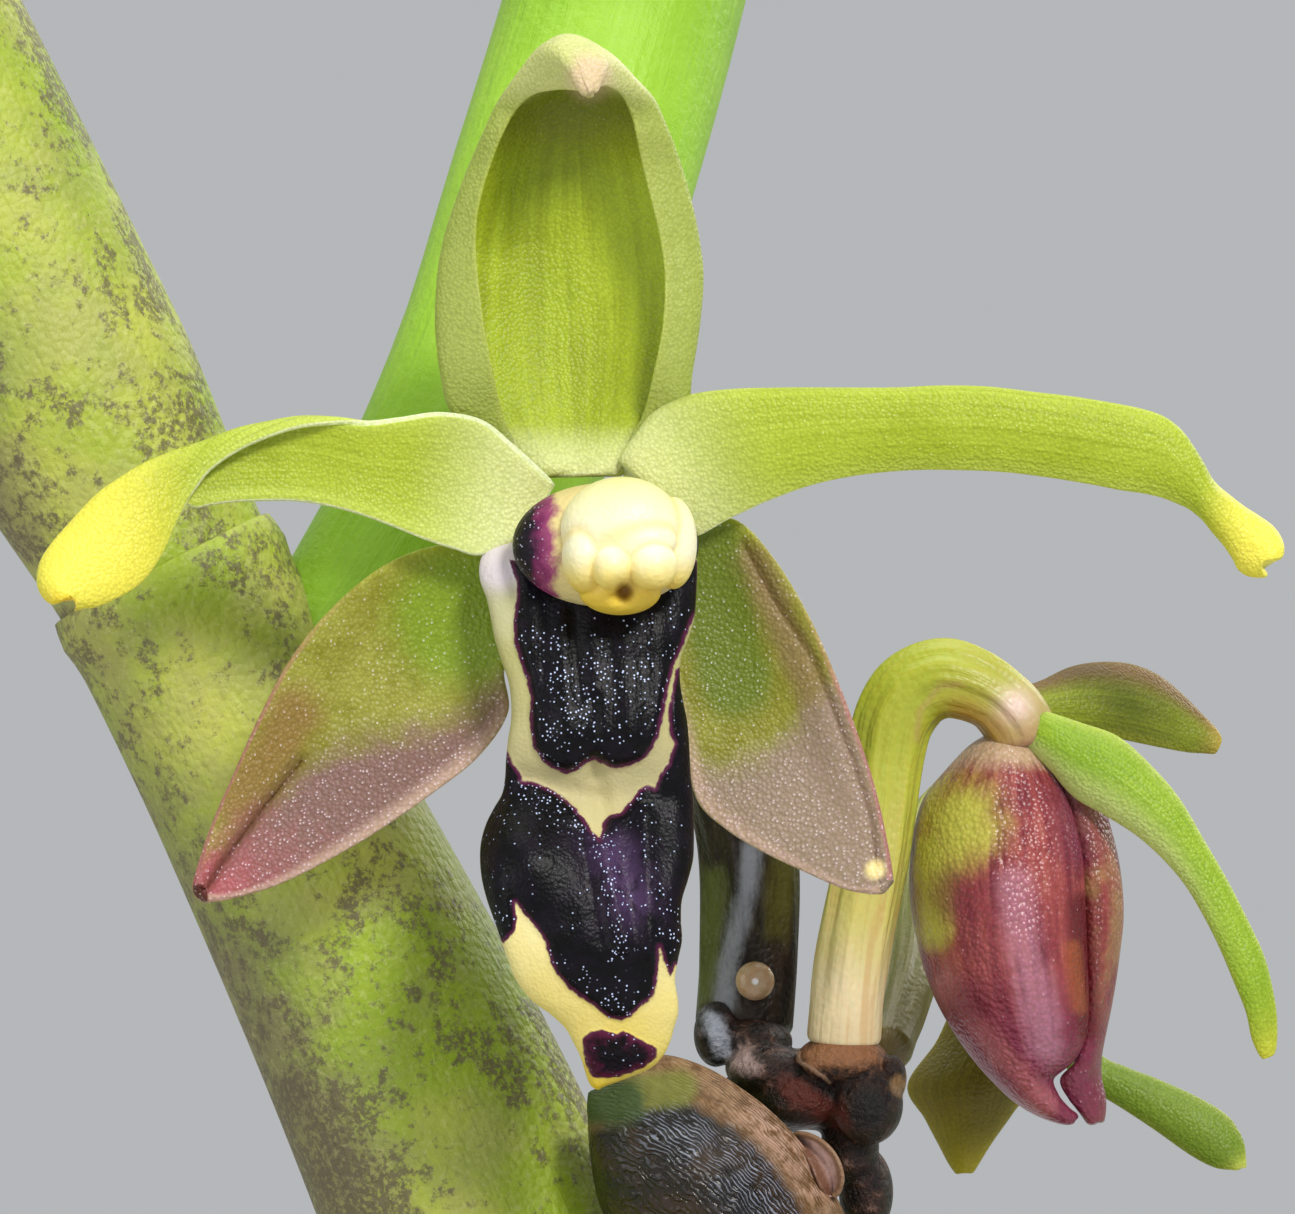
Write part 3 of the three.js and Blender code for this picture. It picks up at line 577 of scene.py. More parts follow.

# on this side the sheaths get painted shade, mixed with their own grey brown
SHADED_WAY = np.array([-0.9, -0.2, -0.3])  # the side on which the sheaths are darker


def nothing(t, turn, spots):
    return t * 0


for number, cane in CANES.items():
    joints, line, length = heights(cane)
    before = 0.85 * cane["radius"]
    for k, leaf in enumerate(cane["leaves"]):
        start, end = joints[k], joints[k + 1]
        mouth = cane["radius"] * (1 - 0.12 * k / len(joints))
        swell = 0.27 if k < 5 else 0.12
        low = start - 2.2 if k else start

        def wrap(s, start=low, joint=start, end=end, mouth=mouth, swell=swell, foot=before - 0.14):
            share = (s + start - joint) / (end - joint)
            wide = mouth * (1 + swell * (1 - over(0.3, 1, share)))
            rim = 0.09 * np.exp(-(((share - 1) * (end - joint) + 0.3) / 0.35) ** 2)
            return foot + (wide - foot) * over(-0.02, 0.2, share) + rim

        reached = np.searchsorted(np.linspace(0, length, len(line)), np.linspace(low, end + 0.25, 24))
        stretch = line[reached.clip(0, len(line) - 1)]

        def side(t, turn, spots, stretch=stretch):
            off = spots - stretch[(t * (len(stretch) - 1)).astype(int)]
            return over(0.25, 1.0, (off @ SHADED_WAY) / np.maximum(np.linalg.norm(off, axis=1), 1e-6))

        around, rings = (72, 110) if number == 1 and k in (3, 4, 5) else (28, 44)  # finer where it is seen close
        piece = tube(
            stretch, wrap, around, rings, (0.4, 0.12), shade=side, blade=nothing, age=nothing, tip=nothing,
        )
        if leaf is None:
            fitted(piece, f"old_sheath_{number}_{k + 1}", husk.material, "old_sheath", f"sheath_{number}_{k + 1}")
        else:
            path = leaf_line(cane, end, leaf)
            _, reach = course(path)
            near = isinstance(leaf, list)
            thick = (1.08 if near else 0.98) * mouth

            def taper(s, thick=thick, reach=reach):
                point = (1 - 0.28 * s / reach) * (1 - 0.3 * over(reach - 7, reach, s))
                return thick * (0.86 + 0.14 * over(4, 9, s)) * point

            around, rings = (48, 120) if near else (24, 70)
            age = 0.0 if near else 0.2 + 0.6 * ((k * 37 + number * 11) % 10) / 10
            grown = tube(
                path, taper, around, rings, (1.0, 1.6),
                shade=nothing,
                blade=lambda t, turn, spots, reach=reach: over(3.5, 8, t * reach),
                age=lambda t, turn, spots, age=age: t * 0 + age,
                tip=lambda t, turn, spots: over(0.93, 1.0, t),
            )
            alone(piece)
            grown.select_set(True)
            bpy.ops.object.join()
            fitted(piece, f"round_leaf_{number}_{k + 1}", leafy.material, "leaf", f"leaf_{number}_{k + 1}")
        before = mouth

# The roots: thick pale air roots with a green growing tip. Two go down into the bark, and one has grown
# over the rim and down the outside of the pot.

ROOTS = [
    [(14.5, -8.5, 90), (8, -16, 89.5), (1, -23, 87), (-6, -28, 82), (-9, -30, 74)],
    [
        (23.5, -7.5, 88), (33, -18, 91), (42, -29, 94.8), (47.5, -34.2, 94.6), (50, -36.8, 88), (50.2, -37.6, 76),
        (46.6, -35, 60), (44.6, -33.2, 46),
    ],
    [(-18.5, 10, 88), (-27, 6, 90), (-34, 4, 86), (-38, 3, 78), (-38.5, 3, 72)],
]

velamen = Finish("root_skin")
wrinkle = velamen.cloud(0.35, 4, velamen.stretched(1, 1, 0.25))
coat = (wrinkle * 0.6 + velamen.cloud(3, 4) * 0.5).ramp(
    (0.3, (0.34, 0.33, 0.24)), (0.6, (0.58, 0.58, 0.50)), (0.85, (0.76, 0.76, 0.70))
)
velamen.skin(
    Base_Color=velamen.painted("growing").tint(coat, (0.30, 0.42, 0.10)),
    Roughness=0.7,
    Normal=velamen.bumped(wrinkle, 0.22),
    Subsurface_Weight=0.08,
    Subsurface_Scale=0.001,
)
for number, points in enumerate(ROOTS, 1):
    _, reach = course(points)
    wave = lambda s, turn, number=number: 0.09 * np.sin(s * 1.3 + number) + 0.06 * np.sin(2 * turn + s * 0.7)
    thick = lambda s, reach=reach: 1.62 - 0.5 * over(reach - 6, reach, s)
    growing = lambda t, turn, spots: over(0.86, 0.97, t)
    root = tube(points, thick, 28, 120, (1.0, 2.0), wave, growing=growing)
    fitted(root, f"air_root_{number}", velamen.material, "root", f"root_{number}")

# The open flower, which faces the viewer. Its parts meet at its heart. Their outlines are set out on a picture
# plane that stands through the heart: 60 units to a millimetre, counted to the right and down from a corner,
# as the eye sees it from 150 mm in front. A depth in mm, more than nought behind the heart, sets each point.

HEART = np.array([8.0, -14.0, 172.0])
UNITS = 60
EYE_FAR = 150
EYE = HEART + [47.5 / UNITS, -EYE_FAR, -107 / UNITS]
PLANE_MIDDLE = (647.5, 607)


def seen(x, y, depth):
    """The point in mm at a spot of the picture plane and a depth."""
    x, y, depth = np.broadcast_arrays(*(np.asarray(value, dtype=float) for value in (x, y, depth)))
    reach = (1 + depth / EYE_FAR) / UNITS
    middle_x, middle_y = PLANE_MIDDLE
    return EYE + np.stack([(x - middle_x) * reach, EYE_FAR + depth, (middle_y - y) * reach], axis=-1)


def spot_of(points):
    """The spots of the picture plane at which points in mm are seen."""
    off = points - EYE
    reach = off[:, 1] / EYE_FAR / UNITS
    return PLANE_MIDDLE[0] + off[:, 0] / reach, PLANE_MIDDLE[1] - off[:, 2] / reach


def line_gap(line, x, y):
    """How far each spot lies from a line through spots, in units."""
    nearest = np.full(x.shape, np.inf)
    for (x0, y0), (x1, y1) in zip(line, line[1:]):
        share = np.clip(((x - x0) * (x1 - x0) + (y - y0) * (y1 - y0)) / ((x1 - x0) ** 2 + (y1 - y0) ** 2), 0, 1)
        nearest = np.minimum(nearest, np.hypot(x - x0 - share * (x1 - x0), y - y0 - share * (y1 - y0)))
    return nearest


def outline_depth(outline, x, y):
    """How far inside an outline each spot lies, in units; less than nought outside."""
    inside = np.zeros(x.shape, dtype=bool)
    for (x0, y0), (x1, y1) in zip(outline, outline[1:] + outline[:1]):
        if y0 != y1:
            inside ^= ((y0 > y) != (y1 > y)) & (x < x0 + (x1 - x0) * (y - y0) / (y1 - y0))
    return np.where(inside, 1, -1) * line_gap(outline + outline[:1], x, y)


def hump(x, y, at_x, at_y, size):
    return np.exp(-((x - at_x) ** 2 + (y - at_y) ** 2) / (2 * size**2))


def ridge(x, y, start, end, size):
    """A long hump from one spot to another."""
    return np.exp(-line_gap([start, end], x, y) ** 2 / (2 * size**2))


def between(a, b, c, d, f):
    """The smooth curve from b to c, on its way from a to d, at a share f of the way."""
    return 0.5 * (2 * b + (c - a) * f + (2 * a - 5 * b + 4 * c - d) * f**2 + (3 * b - a - 3 * c + d) * f**3)


def marked(shape, *where):
    """A number to paint: what a hump or a ridge is worth where each point is seen."""
    return lambda t, turn, spots: shape(*spot_of(spots), *where)


def lined(line, size):
    """A number to paint: 1 on a line through spots, fading over about `size` units on either side."""
    return lambda t, turn, spots: np.exp(-((line_gap(line, *spot_of(spots)) / size) ** 2))


def most(*marks):
    """A number to paint: the greatest of two others."""
    return lambda t, turn, spots: np.maximum(*(mark(t, turn, spots) for mark in marks))


def part_way(start, end, share):
    """The spot part of the way from one to another."""
    return tuple(a * (1 - share) + b * share for a, b in zip(start, end))


def eased(rows, share):
    """A smooth curve through evenly spread rows of numbers, at shares from 0 to 1 of its length."""
    rows = np.asarray(rows, dtype=float)
    rows = np.concatenate([[2 * rows[0] - rows[1]], rows, [2 * rows[-1] - rows[-2]]])
    where = np.clip(share, 0, 1) * (len(rows) - 3)
    i = np.minimum(where.astype(int), len(rows) - 4)
    f = (where - i).reshape((-1,) + (1,) * (rows.ndim - 1))
    return between(rows[i], rows[i + 1], rows[i + 2], rows[i + 3], f)


def lofted(cage):
    """The smooth surface through rows of spots with their depths: u runs from row to row, v along them."""
    cage = np.array(cage, dtype=float)

    def surface(u, v):
        rows = eased(cage, u)
        n = np.arange(len(u))
        rows = np.concatenate([2 * rows[:, :1] - rows[:, 1:2], rows, 2 * rows[:, -1:] - rows[:, -2:-1]], axis=1)
        where = np.clip(v, 0, 1) * (rows.shape[1] - 3)
        i = np.minimum(where.astype(int), rows.shape[1] - 4)
        f = (where - i)[:, None]
        return seen(*between(rows[n, i], rows[n, i + 1], rows[n, i + 2], rows[n, i + 3], f).T)

    return surface


def tepal(surface, thick, around=112, rings=150, **painted):
    """A fleshy sepal or petal with round edges, from the surface through its middle and its thickness."""

    def share(turn):
        return 0.5 - 0.5 * np.cos(turn)

    def place(t, turn):
        u, v, step = t, share(turn), 0.004
        lengthwise = surface(np.minimum(u + step, 1), v) - surface(np.maximum(u - step, 0), v)
        across = surface(u, np.minimum(v + step, 1)) - surface(u, np.maximum(v - step, 0))
        normal = np.cross(lengthwise, across)
        normal /= np.maximum(np.linalg.norm(normal, axis=1), 1e-9)[:, None]
        side = np.sin(turn)
        round_end = np.sqrt(np.clip(1 - (1 - np.clip(np.minimum(u, 1 - u) / 0.03, 0, 1)) ** 2, 0, 1))
        half = 0.5 * thick(u, v) * np.sign(side) * np.abs(side) ** 0.6 * round_end
        return surface(u, v) + normal * half[:, None]

    return ball(
        around, rings, place,
        along=lambda t, turn, spots: t, across=lambda t, turn, spots: 2 * share(turn) - 1, **painted,
    )


def crusted(finish, colour, painted_highlights, highlight_colour=(0.80, 0.88, 0.42), roughness=0.42, size=0.062, dot=0.24,
            strength=0.6, **values):
    """The surface of a sepal or petal: a crust of tiny round cells, of which some are coloured pale as painted
    highlights. The third argument is the share of cells so painted, and `dot` how much of a cell the highlight
    covers."""
    near = finish.cells(size)
    highlight_dots = finish.painted_highlights(size, painted_highlights, dot * 0.5, dot, 0.25)
    grain = {"data_type": "RGBA", "blend_type": "MULTIPLY"}
    colour = finish.node("Mix", grain, {0: near.over(0.25, 0.75) * 0.5, 6: colour, 7: (0.72, 0.76, 0.55)}, 2)
    finish.skin(
        # painted highlights: pale dots on a share of the cells, standing in for their glints
        Base_Color=(highlight_dots * strength).tint(colour, highlight_colour),
        Roughness=roughness + finish.cloud(0.3, 2) * 0.12 - highlight_dots * 0.2,
        Normal=finish.bumped(near, -0.3 * size, finish.bumped(finish.cloud(0.5, 3), 0.03)),
        Specular_IOR_Level=0.4,
        **{"Subsurface_Weight": 0.22, "Subsurface_Radius": (0.9, 1.0, 0.2), "Subsurface_Scale": 0.0006, **values},
    )
    return finish.material


# The open flower's dorsal sepal: it stands up behind the column like a hood, olive green within. Its pale
# margins roll forward and in, and its tip folds over the front to a pinkish point.

rows = []
for y, spread, depth, turned, free in [
    (478, (546, 540, 556, 577, 598, 614, 608), 0.55, 0.08, 0.10),
    (440, (515, 500, 535, 576, 612, 648, 628), 0.75, 0.25, 0.30),
    (414, (503, 458, 528, 575, 618, 680, 643), 0.85, 0.45, 0.55),
    (372, (493, 446, 522, 573, 624, 686, 654), 1.0, 0.75, 1.15),
    (325, (484, 441.5, 520, 572, 628, 693, 663), 1.15, 0.85, 1.4),
    (278, (478, 444, 518, 570, 626, 696.5, 665), 1.2, 0.85, 1.4),
    (243, (475.5, 450, 516, 569, 622, 693, 661), 1.2, 0.85, 1.4),
    (207, (478, 461, 517, 569, 618, 686, 653), 1.1, 0.85, 1.4),
    (167, (489, 476, 523, 569, 612, 675, 643), 0.95, 0.85, 1.35),
    (134, (502, 490, 530, 569, 606, 663, 636), 0.65, 0.85, 1.3),
]:
    deep = (free, turned, 0.12, 0, 0.12, turned, free)
    rows.append([(x, y, depth - less) for x, less in zip(spread, deep)])
for spots, (free, turned, near, middle) in [  # the tip folds over
    ([(515, 111), (503, 105), (532, 97), (569, 90), (612, 95), (650, 104), (632, 117)], (-0.75, -0.45, 0.05, 0.2)),
    ([(533, 95), (521, 80), (543, 68), (569, 60), (600, 66), (634, 86), (623, 97)], (-1.1, -0.95, -0.65, -0.55)),
    ([(556, 90), (539, 61), (552, 48), (569, 43), (590, 50), (615, 67), (612, 88)], (-1.55, -1.4, -1.25, -1.2)),
    ([(572, 90), (556, 56), (564, 49), (575, 50), (589, 55), (603, 65), (603, 86)], (-1.9, -1.8, -1.75, -1.75)),
    ([(583, 92), (573, 70), (578, 69), (584, 72), (591, 72), (598, 75), (597, 89)], (-2.1, -2.08, -2.08, -2.1)),
    ([(588, 96), (588, 97), (589, 98), (590, 99), (591, 98), (592, 97), (593, 95)], (-2.25, -2.25, -2.25, -2.25)),
]:
    deep = (free, turned, near, middle, near, turned, free)
    rows.append([(x, y, depth) for (x, y), depth in zip(spots, deep)])


def crowned(t, turn, spots):
    """The pale crown of the hood: the top of its outer side."""
    x, y = spot_of(spots)
    return over(118, 86, y + 0.10 * np.abs(x - 572)) * over(0.0, -0.5, spots[:, 1] - HEART[1])


dorsal = tepal(
    lofted(rows), lambda u, v: 0.30 - 0.12 * np.abs(2 * v - 1) ** 3, 120, 150,
    outer=lambda t, turn, spots: np.sin(turn),
    crown=crowned,
    blush=marked(hump, 590, 76, 17),
)


def tepal_green(name, dark, middle, pale, foot):
    """Greens for a sepal or petal: deeper in its middle, pale at its edges, with fine veins along it."""
    finish = Finish(name)
    along, across = finish.painted("along"), finish.painted("across")
    edge = finish.maths("ABSOLUTE", across)
    veins = finish.node("CombineXYZ", {}, {0: across * 14, 1: along * 1.5, 2: 0})
    vein = finish.cloud(1, 2, veins)
    colour = (vein * 0.7 + finish.cloud(1.4, 3) * 0.5).over(0.42, 0.78).tint(dark, middle)
    colour = (edge.over(0.55, 1.0) * 0.8).tint(colour, pale)
    colour = (1 - along.over(0.0, foot)).tint(colour, (0.72, 0.76, 0.34))
    return finish, colour, along, edge, vein


finish, colour, along, edge, vein = tepal_green(
    "dorsal_sepal", (0.30, 0.37, 0.004), (0.42, 0.52, 0.018), (0.46, 0.54, 0.09), 0.12
)
outer = finish.painted("outer").over(-0.2, 0.2)
# painted shade: the upper inside of the hood is darkened for the shadow the hood casts in it
colour = (along.over(0.50, 0.66) * (1 - outer) * 0.85).tint(colour, (0.17, 0.19, 0.006))
colour = (outer * 0.8).tint(colour, (0.37, 0.43, 0.10))
colour = (along.over(0.66, 0.82) * outer * 0.7).tint(colour, (0.60, 0.62, 0.26))
colour = (finish.painted("crown") * 0.9).tint(colour, (0.60, 0.62, 0.24))
colour = (finish.frayed("blush", finish.cloud(0.4, 3)).over(0.1, 0.8) * 0.8).tint(colour, (0.72, 0.50, 0.36))
material = crusted(finish, colour, 0.22, strength=0.35)
fitted(dorsal, "dorsal_sepal_open", material, "dorsal_sepal", "dorsal_sepal_1")

# Its left petal: a strap that runs out level, then folds over along its upper edge until the fold has
# turned it face down. It ends in a thick yellow knob with a notch.

FOLDED = [  # fold, edge, the widths in mm of the flap and of the strap (None: out to the edge), depth
    ((555, 485), (525, 545), 0, None, 0.15), ((510, 444), (480, 560), 0, None, 0.08),
    ((480, 421), (452, 554), 0, None, 0.05), ((440, 414), (422, 544), 0, None, 0.0),
    ((402, 419), (388, 530), 0, None, -0.02), ((368, 423), (354, 518), 0, None, -0.05),
    ((334, 421), (322, 510), 0.1, None, -0.08), ((300, 421), (292, 506), 0.18, None, -0.1),
    ((267, 427), (262, 506), 0.26, None, -0.14), ((238, 434), (236, 507), 0.37, None, -0.2),
    ((210, 445), (212, 510), 0.5, None, -0.26), ((190, 452), (196, 513), 0.75, None, -0.3),
    ((170, 459), (184, 516), 0.97, 0.8, -0.36), ((148, 468), (174, 537), 1.23, 0.45, -0.45),
    ((125, 480), (166, 556), 1.43, 0.15, -0.55), ((98, 497), (155, 575), 1.6, 0.02, -0.65),
    ((74, 522), (140, 590), 1.58, 0.01, -0.78), ((57, 542), (122, 601), 1.45, 0.01, -0.88),
    ((46, 563), (103, 607), 1.2, 0.01, -0.93), ((47, 583), (88, 604), 0.77, 0.01, -0.95),
    ((60, 595), (80, 602), 0.35, 0.01, -0.95),
]
table = []
for (x, y), (to_x, to_y), flap, strap, depth in FOLDED:
    wide = math.hypot(to_x - x, to_y - y)
    strap = wide / UNITS if strap is None else strap
    table.append((x, y, (to_x - x) / wide, (to_y - y) / wide, flap, strap, depth))


def left_surface(u, v):
    x, y, way_x, way_y, flap, strap, depth = eased(table, u).T
    flap, strap = np.maximum(flap, 0), np.maximum(strap, 0.005)
    s = v * (flap + strap)
    far = (np.sqrt((s - flap) ** 2 + 0.008) - math.sqrt(0.008)) * UNITS
    back = np.tanh((s - flap) / 0.14) * 0.14 * over(0, 0.2, flap)
    crown = 4 * v * (1 - v)
    depth = depth + back + 0.16 * crown * (1 - over(0.45, 0.7, u)) - 0.22 * crown * over(0.6, 0.8, u)
    return seen(x + way_x * far, y + way_y * far, depth)


left_petal = tepal(left_surface, lambda u, v: 0.24 + 0.30 * over(0.82, 0.97, u), 112, 176)


def petal_colours(name, yellow_from, yellow_to):
    finish, colour, along, edge, vein = tepal_green(
        name, (0.34, 0.42, 0.008), (0.44, 0.53, 0.035), (0.52, 0.62, 0.09), 0.20
    )
    colour = ((1 - vein.over(0.30, 0.46)) * along.over(0.15, 0.4) * 0.35).tint(colour, (0.22, 0.28, 0.01))
    rim = edge.over(0.965, 0.995) * (1 - along.over(yellow_from, yellow_to))
    colour = along.over(yellow_from, yellow_to).tint(colour, (0.90, 0.80, 0.09))
    colour = (rim * 0.8).tint(colour, (0.80, 0.86, 0.55))
    return finish, colour, along


finish, colour, along = petal_colours("left_petal", 0.50, 0.85)
colour = along.over(0.93, 1.0).tint(colour, (0.92, 0.62, 0.02))
material = crusted(finish, colour, 0.24, (0.84, 0.86, 0.42), Subsurface_Radius=(1.0, 0.9, 0.2))
fitted(left_petal, "left_petal_open", material, "petal", "left_petal_1")

# Its right petal: the same strap, tilted so that its upper edge is nearer, narrowing to a folded neck and
# spreading again into a small yellow spoon.

STRAP = [  # upper edge, lower edge, depth, and how far the far wall shows over the upper edge
    ((620, 466), (695, 537), 0.25, -14), ((637, 443), (706, 532), 0.22, -14), ((658, 417), (727, 520), 0.2, -14),
    ((684, 403), (748, 510), 0.17, -14), ((727, 396), (770, 500), 0.14, -14), ((778, 394), (812, 485), 0.1, -14),
    ((834, 394), (859, 475), 0.06, -14), ((893, 394), (911, 470), 0.03, -14), ((940, 392), (962, 470), 0.0, -14),
    ((987, 393), (1005, 472), 0.0, -14), ((1030, 398), (1047, 477), 0.0, -14),
    ((1073, 403), (1090, 484), 0.0, -14), ((1110, 409), (1120, 490), 0.02, -13),
    ((1140, 415), (1142, 493), 0.04, -12), ((1160, 422), (1160, 497), 0.06, -9),
    ((1176, 434), (1174, 502), 0.08, -6), ((1188, 450), (1188, 508), 0.1, -2),
    ((1198, 467), (1198, 515), 0.12, 2), ((1206, 483), (1206, 522), 0.15, 5),
    ((1214, 494), (1215, 533), 0.18, 7), ((1225, 504), (1226, 546), 0.2, 8), ((1240, 515), (1235, 560), 0.22, 7),
    ((1254, 524), (1239, 569), 0.24, 6), ((1266, 534), (1247, 574), 0.25, 3),
    ((1272, 547), (1257, 573), 0.25, 1), ((1270, 560), (1265, 568), 0.25, 0),
]
rows = []
for (x, y), (low_x, low_y), depth, over_edge in STRAP:
    section = [(low_x, low_y, depth + 0.14)]
    for share, less in ((0.33, 0.04), (0.7, 0.10)):
        section.append((low_x + (x - low_x) * share, low_y + (y - low_y) * share, depth - less))
    section.append((x, y, depth + 0.02))
    section.append((x + 2, y - over_edge, depth + 0.32))
    rows.append(section)
right_petal = tepal(lofted(rows), lambda u, v: 0.24 + 0.22 * over(0.85, 0.98, u), 104, 184)
finish, colour, along = petal_colours("right_petal", 0.66, 0.92)
material = crusted(finish, colour, 0.26, (0.84, 0.88, 0.46))
fitted(right_petal, "right_petal_open", material, "petal", "right_petal_1")

# Its two lateral sepals: boat-shaped blades behind the lip, hollow towards the viewer. They are green at the
# foot, rust along the upper edge and flushed purple pink below, under dense pale dots of painted highlight.

BOATS = {  # upper edge, middle and lower edge of each row, and the depth of its middle
    "left": [
        ((545, 545), (560, 560), (545, 600), 0.8), ((470, 545), (485, 600), (505, 665), 0.95),
        ((430, 547), (450, 640), (508, 712), 1.0), ((380, 568), (405, 675), (478, 757), 1.0),
        ((330, 610), (355, 720), (430, 795), 0.9), ((290, 660), (310, 765), (375, 833), 0.75),
        ((258, 720), (270, 805), (325, 862), 0.6), ((232, 778), (240, 845), (280, 884), 0.45),
        ((212, 825), (218, 872), (245, 895), 0.35), ((200, 865), (205, 888), (222, 899), 0.25),
        ((198, 888), (200, 893), (205, 898), 0.2),
    ],
    "right": [
        ((650, 535), (640, 560), (640, 600), 0.8), ((700, 520), (690, 580), (660, 640), 0.95),
        ((738, 521), (720, 610), (672, 690), 1.05), ((775, 560), (750, 660), (685, 745), 1.05),
        ((808, 615), (780, 710), (697, 800), 1.0), ((832, 668), (805, 755), (727, 830), 0.85),
        ((853, 722), (827, 795), (765, 853), 0.7), ((872, 778), (848, 830), (805, 872), 0.55),
        ((885, 835), (868, 862), (842, 888), 0.4), ((890, 868), (880, 880), (866, 892), 0.3),
        ((889, 880), (886, 885), (880, 889), 0.2),
    ],
}
FOLDS = {  # the crease from the tip, the line below which the flush is, and where it is rust and vivid green
    "left": (
        [(206, 889), (222, 862), (262, 808), (300, 762)],
        [(195, 850), (262, 800), (310, 752), (360, 732), (430, 728), (520, 672)],
        marked(ridge, (236, 800), (292, 720), 26), marked(hump, 462, 615, 52),
    ),
    "right": (
        [(879, 866), (872, 815), (848, 745), (815, 660), (775, 600), (745, 545)],
        [(670, 752), (720, 760), (770, 745), (815, 700), (860, 640)],
        marked(ridge, (755, 560), (845, 770), 16), marked(ridge, (705, 545), (735, 680), 28),
    ),
}
# the darkness given for the crease is painted shade along the fold
TONES = {  # leaf green, rust, how high the crease stands in mm and how dark it is
    "left": ((0.22, 0.32, 0.008), (0.27, 0.150, 0.035), 0.16, 0.6),
    # the right sepal's deeper green, painted at its foot, is partly painted shade
    "right": ((0.15, 0.20, 0.008), (0.27, 0.18, 0.075), 0.07, 0.35),
}

for side, stations in BOATS.items():
    crease, border, rusty, vivid = FOLDS[side]
    leaf_green, rust, fold, dark = TONES[side]
    rows = []
    for i, (upper, middle, lower, depth) in enumerate(stations):
        rise = 0.1 + 0.25 * math.sin(math.pi * min(1, i / 7))
        quarter = [(*part_way(a, b, 0.5), depth - rise * 0.3) for a, b in ((upper, middle), (middle, lower))]
        rows.append([(*upper, depth - rise), quarter[0], (*middle, depth), quarter[1], (*lower, depth - rise)])
    flat = lofted(rows)

    def creased(u, v, flat=flat, crease=crease, fold=fold):
        spots = flat(u, v)
        gap = line_gap(crease, *spot_of(spots))
        spots[:, 1] += fold * np.exp(-((gap / 7) ** 2)) * over(0.02, 0.1, u)
        return spots

    boat = tepal(
        creased, lambda u, v: 0.30 - 0.08 * np.abs(2 * v - 1) ** 3, 112, 140,
        below=lambda t, turn, spots, border=border: (
            spot_of(spots)[1] - np.interp(spot_of(spots)[0], *np.array(border).T)
        ) / UNITS,
        crease=lined(crease, 5), rust=rusty, vivid=vivid,
    )
    finish = Finish(f"{side}_lateral_sepal")
    along, across, below = (finish.painted(name) for name in ("along", "across", "below"))
    edge = finish.maths("ABSOLUTE", across)
    soft, fine = finish.cloud(0.9, 4), finish.cloud(0.28, 4, roughness=0.65)
    colour = (soft * 0.6 + fine * 0.4).over(0.36, 0.66).tint((0.24, 0.23, 0.010), (0.36, 0.36, 0.055))
    colour = finish.frayed("vivid", fine).over(0.15, 0.7).tint(colour, leaf_green)
    colour = (finish.frayed("rust", soft, 0.9).over(0.1, 1.0) * 0.85).tint(colour, rust)
    flush = (below + soft * 0.9 + fine * 0.5 - 0.70).over(-0.35, 0.55)
    pink = (along + fine * 0.3 - 0.15).over(0.5, 0.9).tint((0.225, 0.118, 0.104), (0.40, 0.095, 0.115))
    colour = flush.tint(colour, pink if side == "left" else (0.33, 0.235, 0.175))
    rim = (edge + fine * 0.06 - 0.03).over(0.93, 0.985)
    lower_rim = across.over(0.80, 0.98) * along.over(0.1, 0.3)
    colour = (lower_rim * 0.7).tint(colour, (0.62, 0.42, 0.36))
    colour = (rim * along.over(0.3, 0.6) * (1 - across.over(-0.1, 0.1)) * 0.7).tint(colour, (0.40, 0.14, 0.155))
    # painted shade: the line along the crease is darkened brown
    colour = (finish.painted("crease") * dark).tint(colour, (0.14, 0.055, 0.02))
    if side == "left":
        colour = along.over(0.975, 0.99).tint(colour, (0.10, 0.012, 0.008))
    else:
        from_tip = {0: finish.place, 1: tuple(seen(876, 871, 0.3))}
        away = finish.node("VectorMath", {"operation": "DISTANCE"}, from_tip, 1)
        colour = (1 - away.over(0.12, 0.26)).tint(colour, (0.90, 0.72, 0.34))
    # the share of cells given a painted highlight, more where the sepal is flushed
    highlight_share = 0.30 + flush * 0.45 + finish.painted("vivid") * 0.1
    material = crusted(finish, colour, highlight_share, (0.80, 0.72, 0.76), size=0.070, dot=0.30, strength=0.55)
    fitted(boat, f"{side}_sepal_open", material, "lateral_sepal", f"{side}_sepal_1")


# The open flower's column: the short thick body over the lip, black purple along both flanks, with a magenta
# flush where the left one meets the pale cap.

COLUMN_OUTLINE = [
    (558, 498), (544, 505), (531, 521), (522, 538), (515, 553), (513, 567), (517, 584), (525, 595), (541, 601),
    (554, 588),
]


def column_place(t, turn):
    """An egg that lies with its length towards the viewer, wider than it is high."""
    front = np.cos(math.pi * t)
    wide = np.sin(math.pi * t) ** 0.85
    x = 605.5 + 93 * wide * np.cos(turn) * (1 + 0.04 * front)
    y = 545 + 62 * wide * np.sin(turn)
    return seen(x, y, -0.70 - 0.85 * front)


column = ball(
    96, 72, column_place,
    magenta=lambda t, turn, spots: outline_depth(COLUMN_OUTLINE, *spot_of(spots)) / 24,
    leftward=lambda t, turn, spots: (spot_of(spots)[0] - 513) / 60,
)
finish = Finish("column")
inward = finish.frayed("leftward", finish.cloud(0.25, 4), 0.5)
flank = inward.ramp(
    (0.0, (0.003, 0.002, 0.006)), (0.26, (0.012, 0.005, 0.016)), (0.44, (0.17, 0.020, 0.090)),
    (0.62, (0.30, 0.060, 0.15)), (0.80, (0.72, 0.60, 0.26)),
)
dark_right = finish.painted("leftward").over(2.62, 2.85)
colour = dark_right.tint(flank, (0.004, 0.002, 0.005))
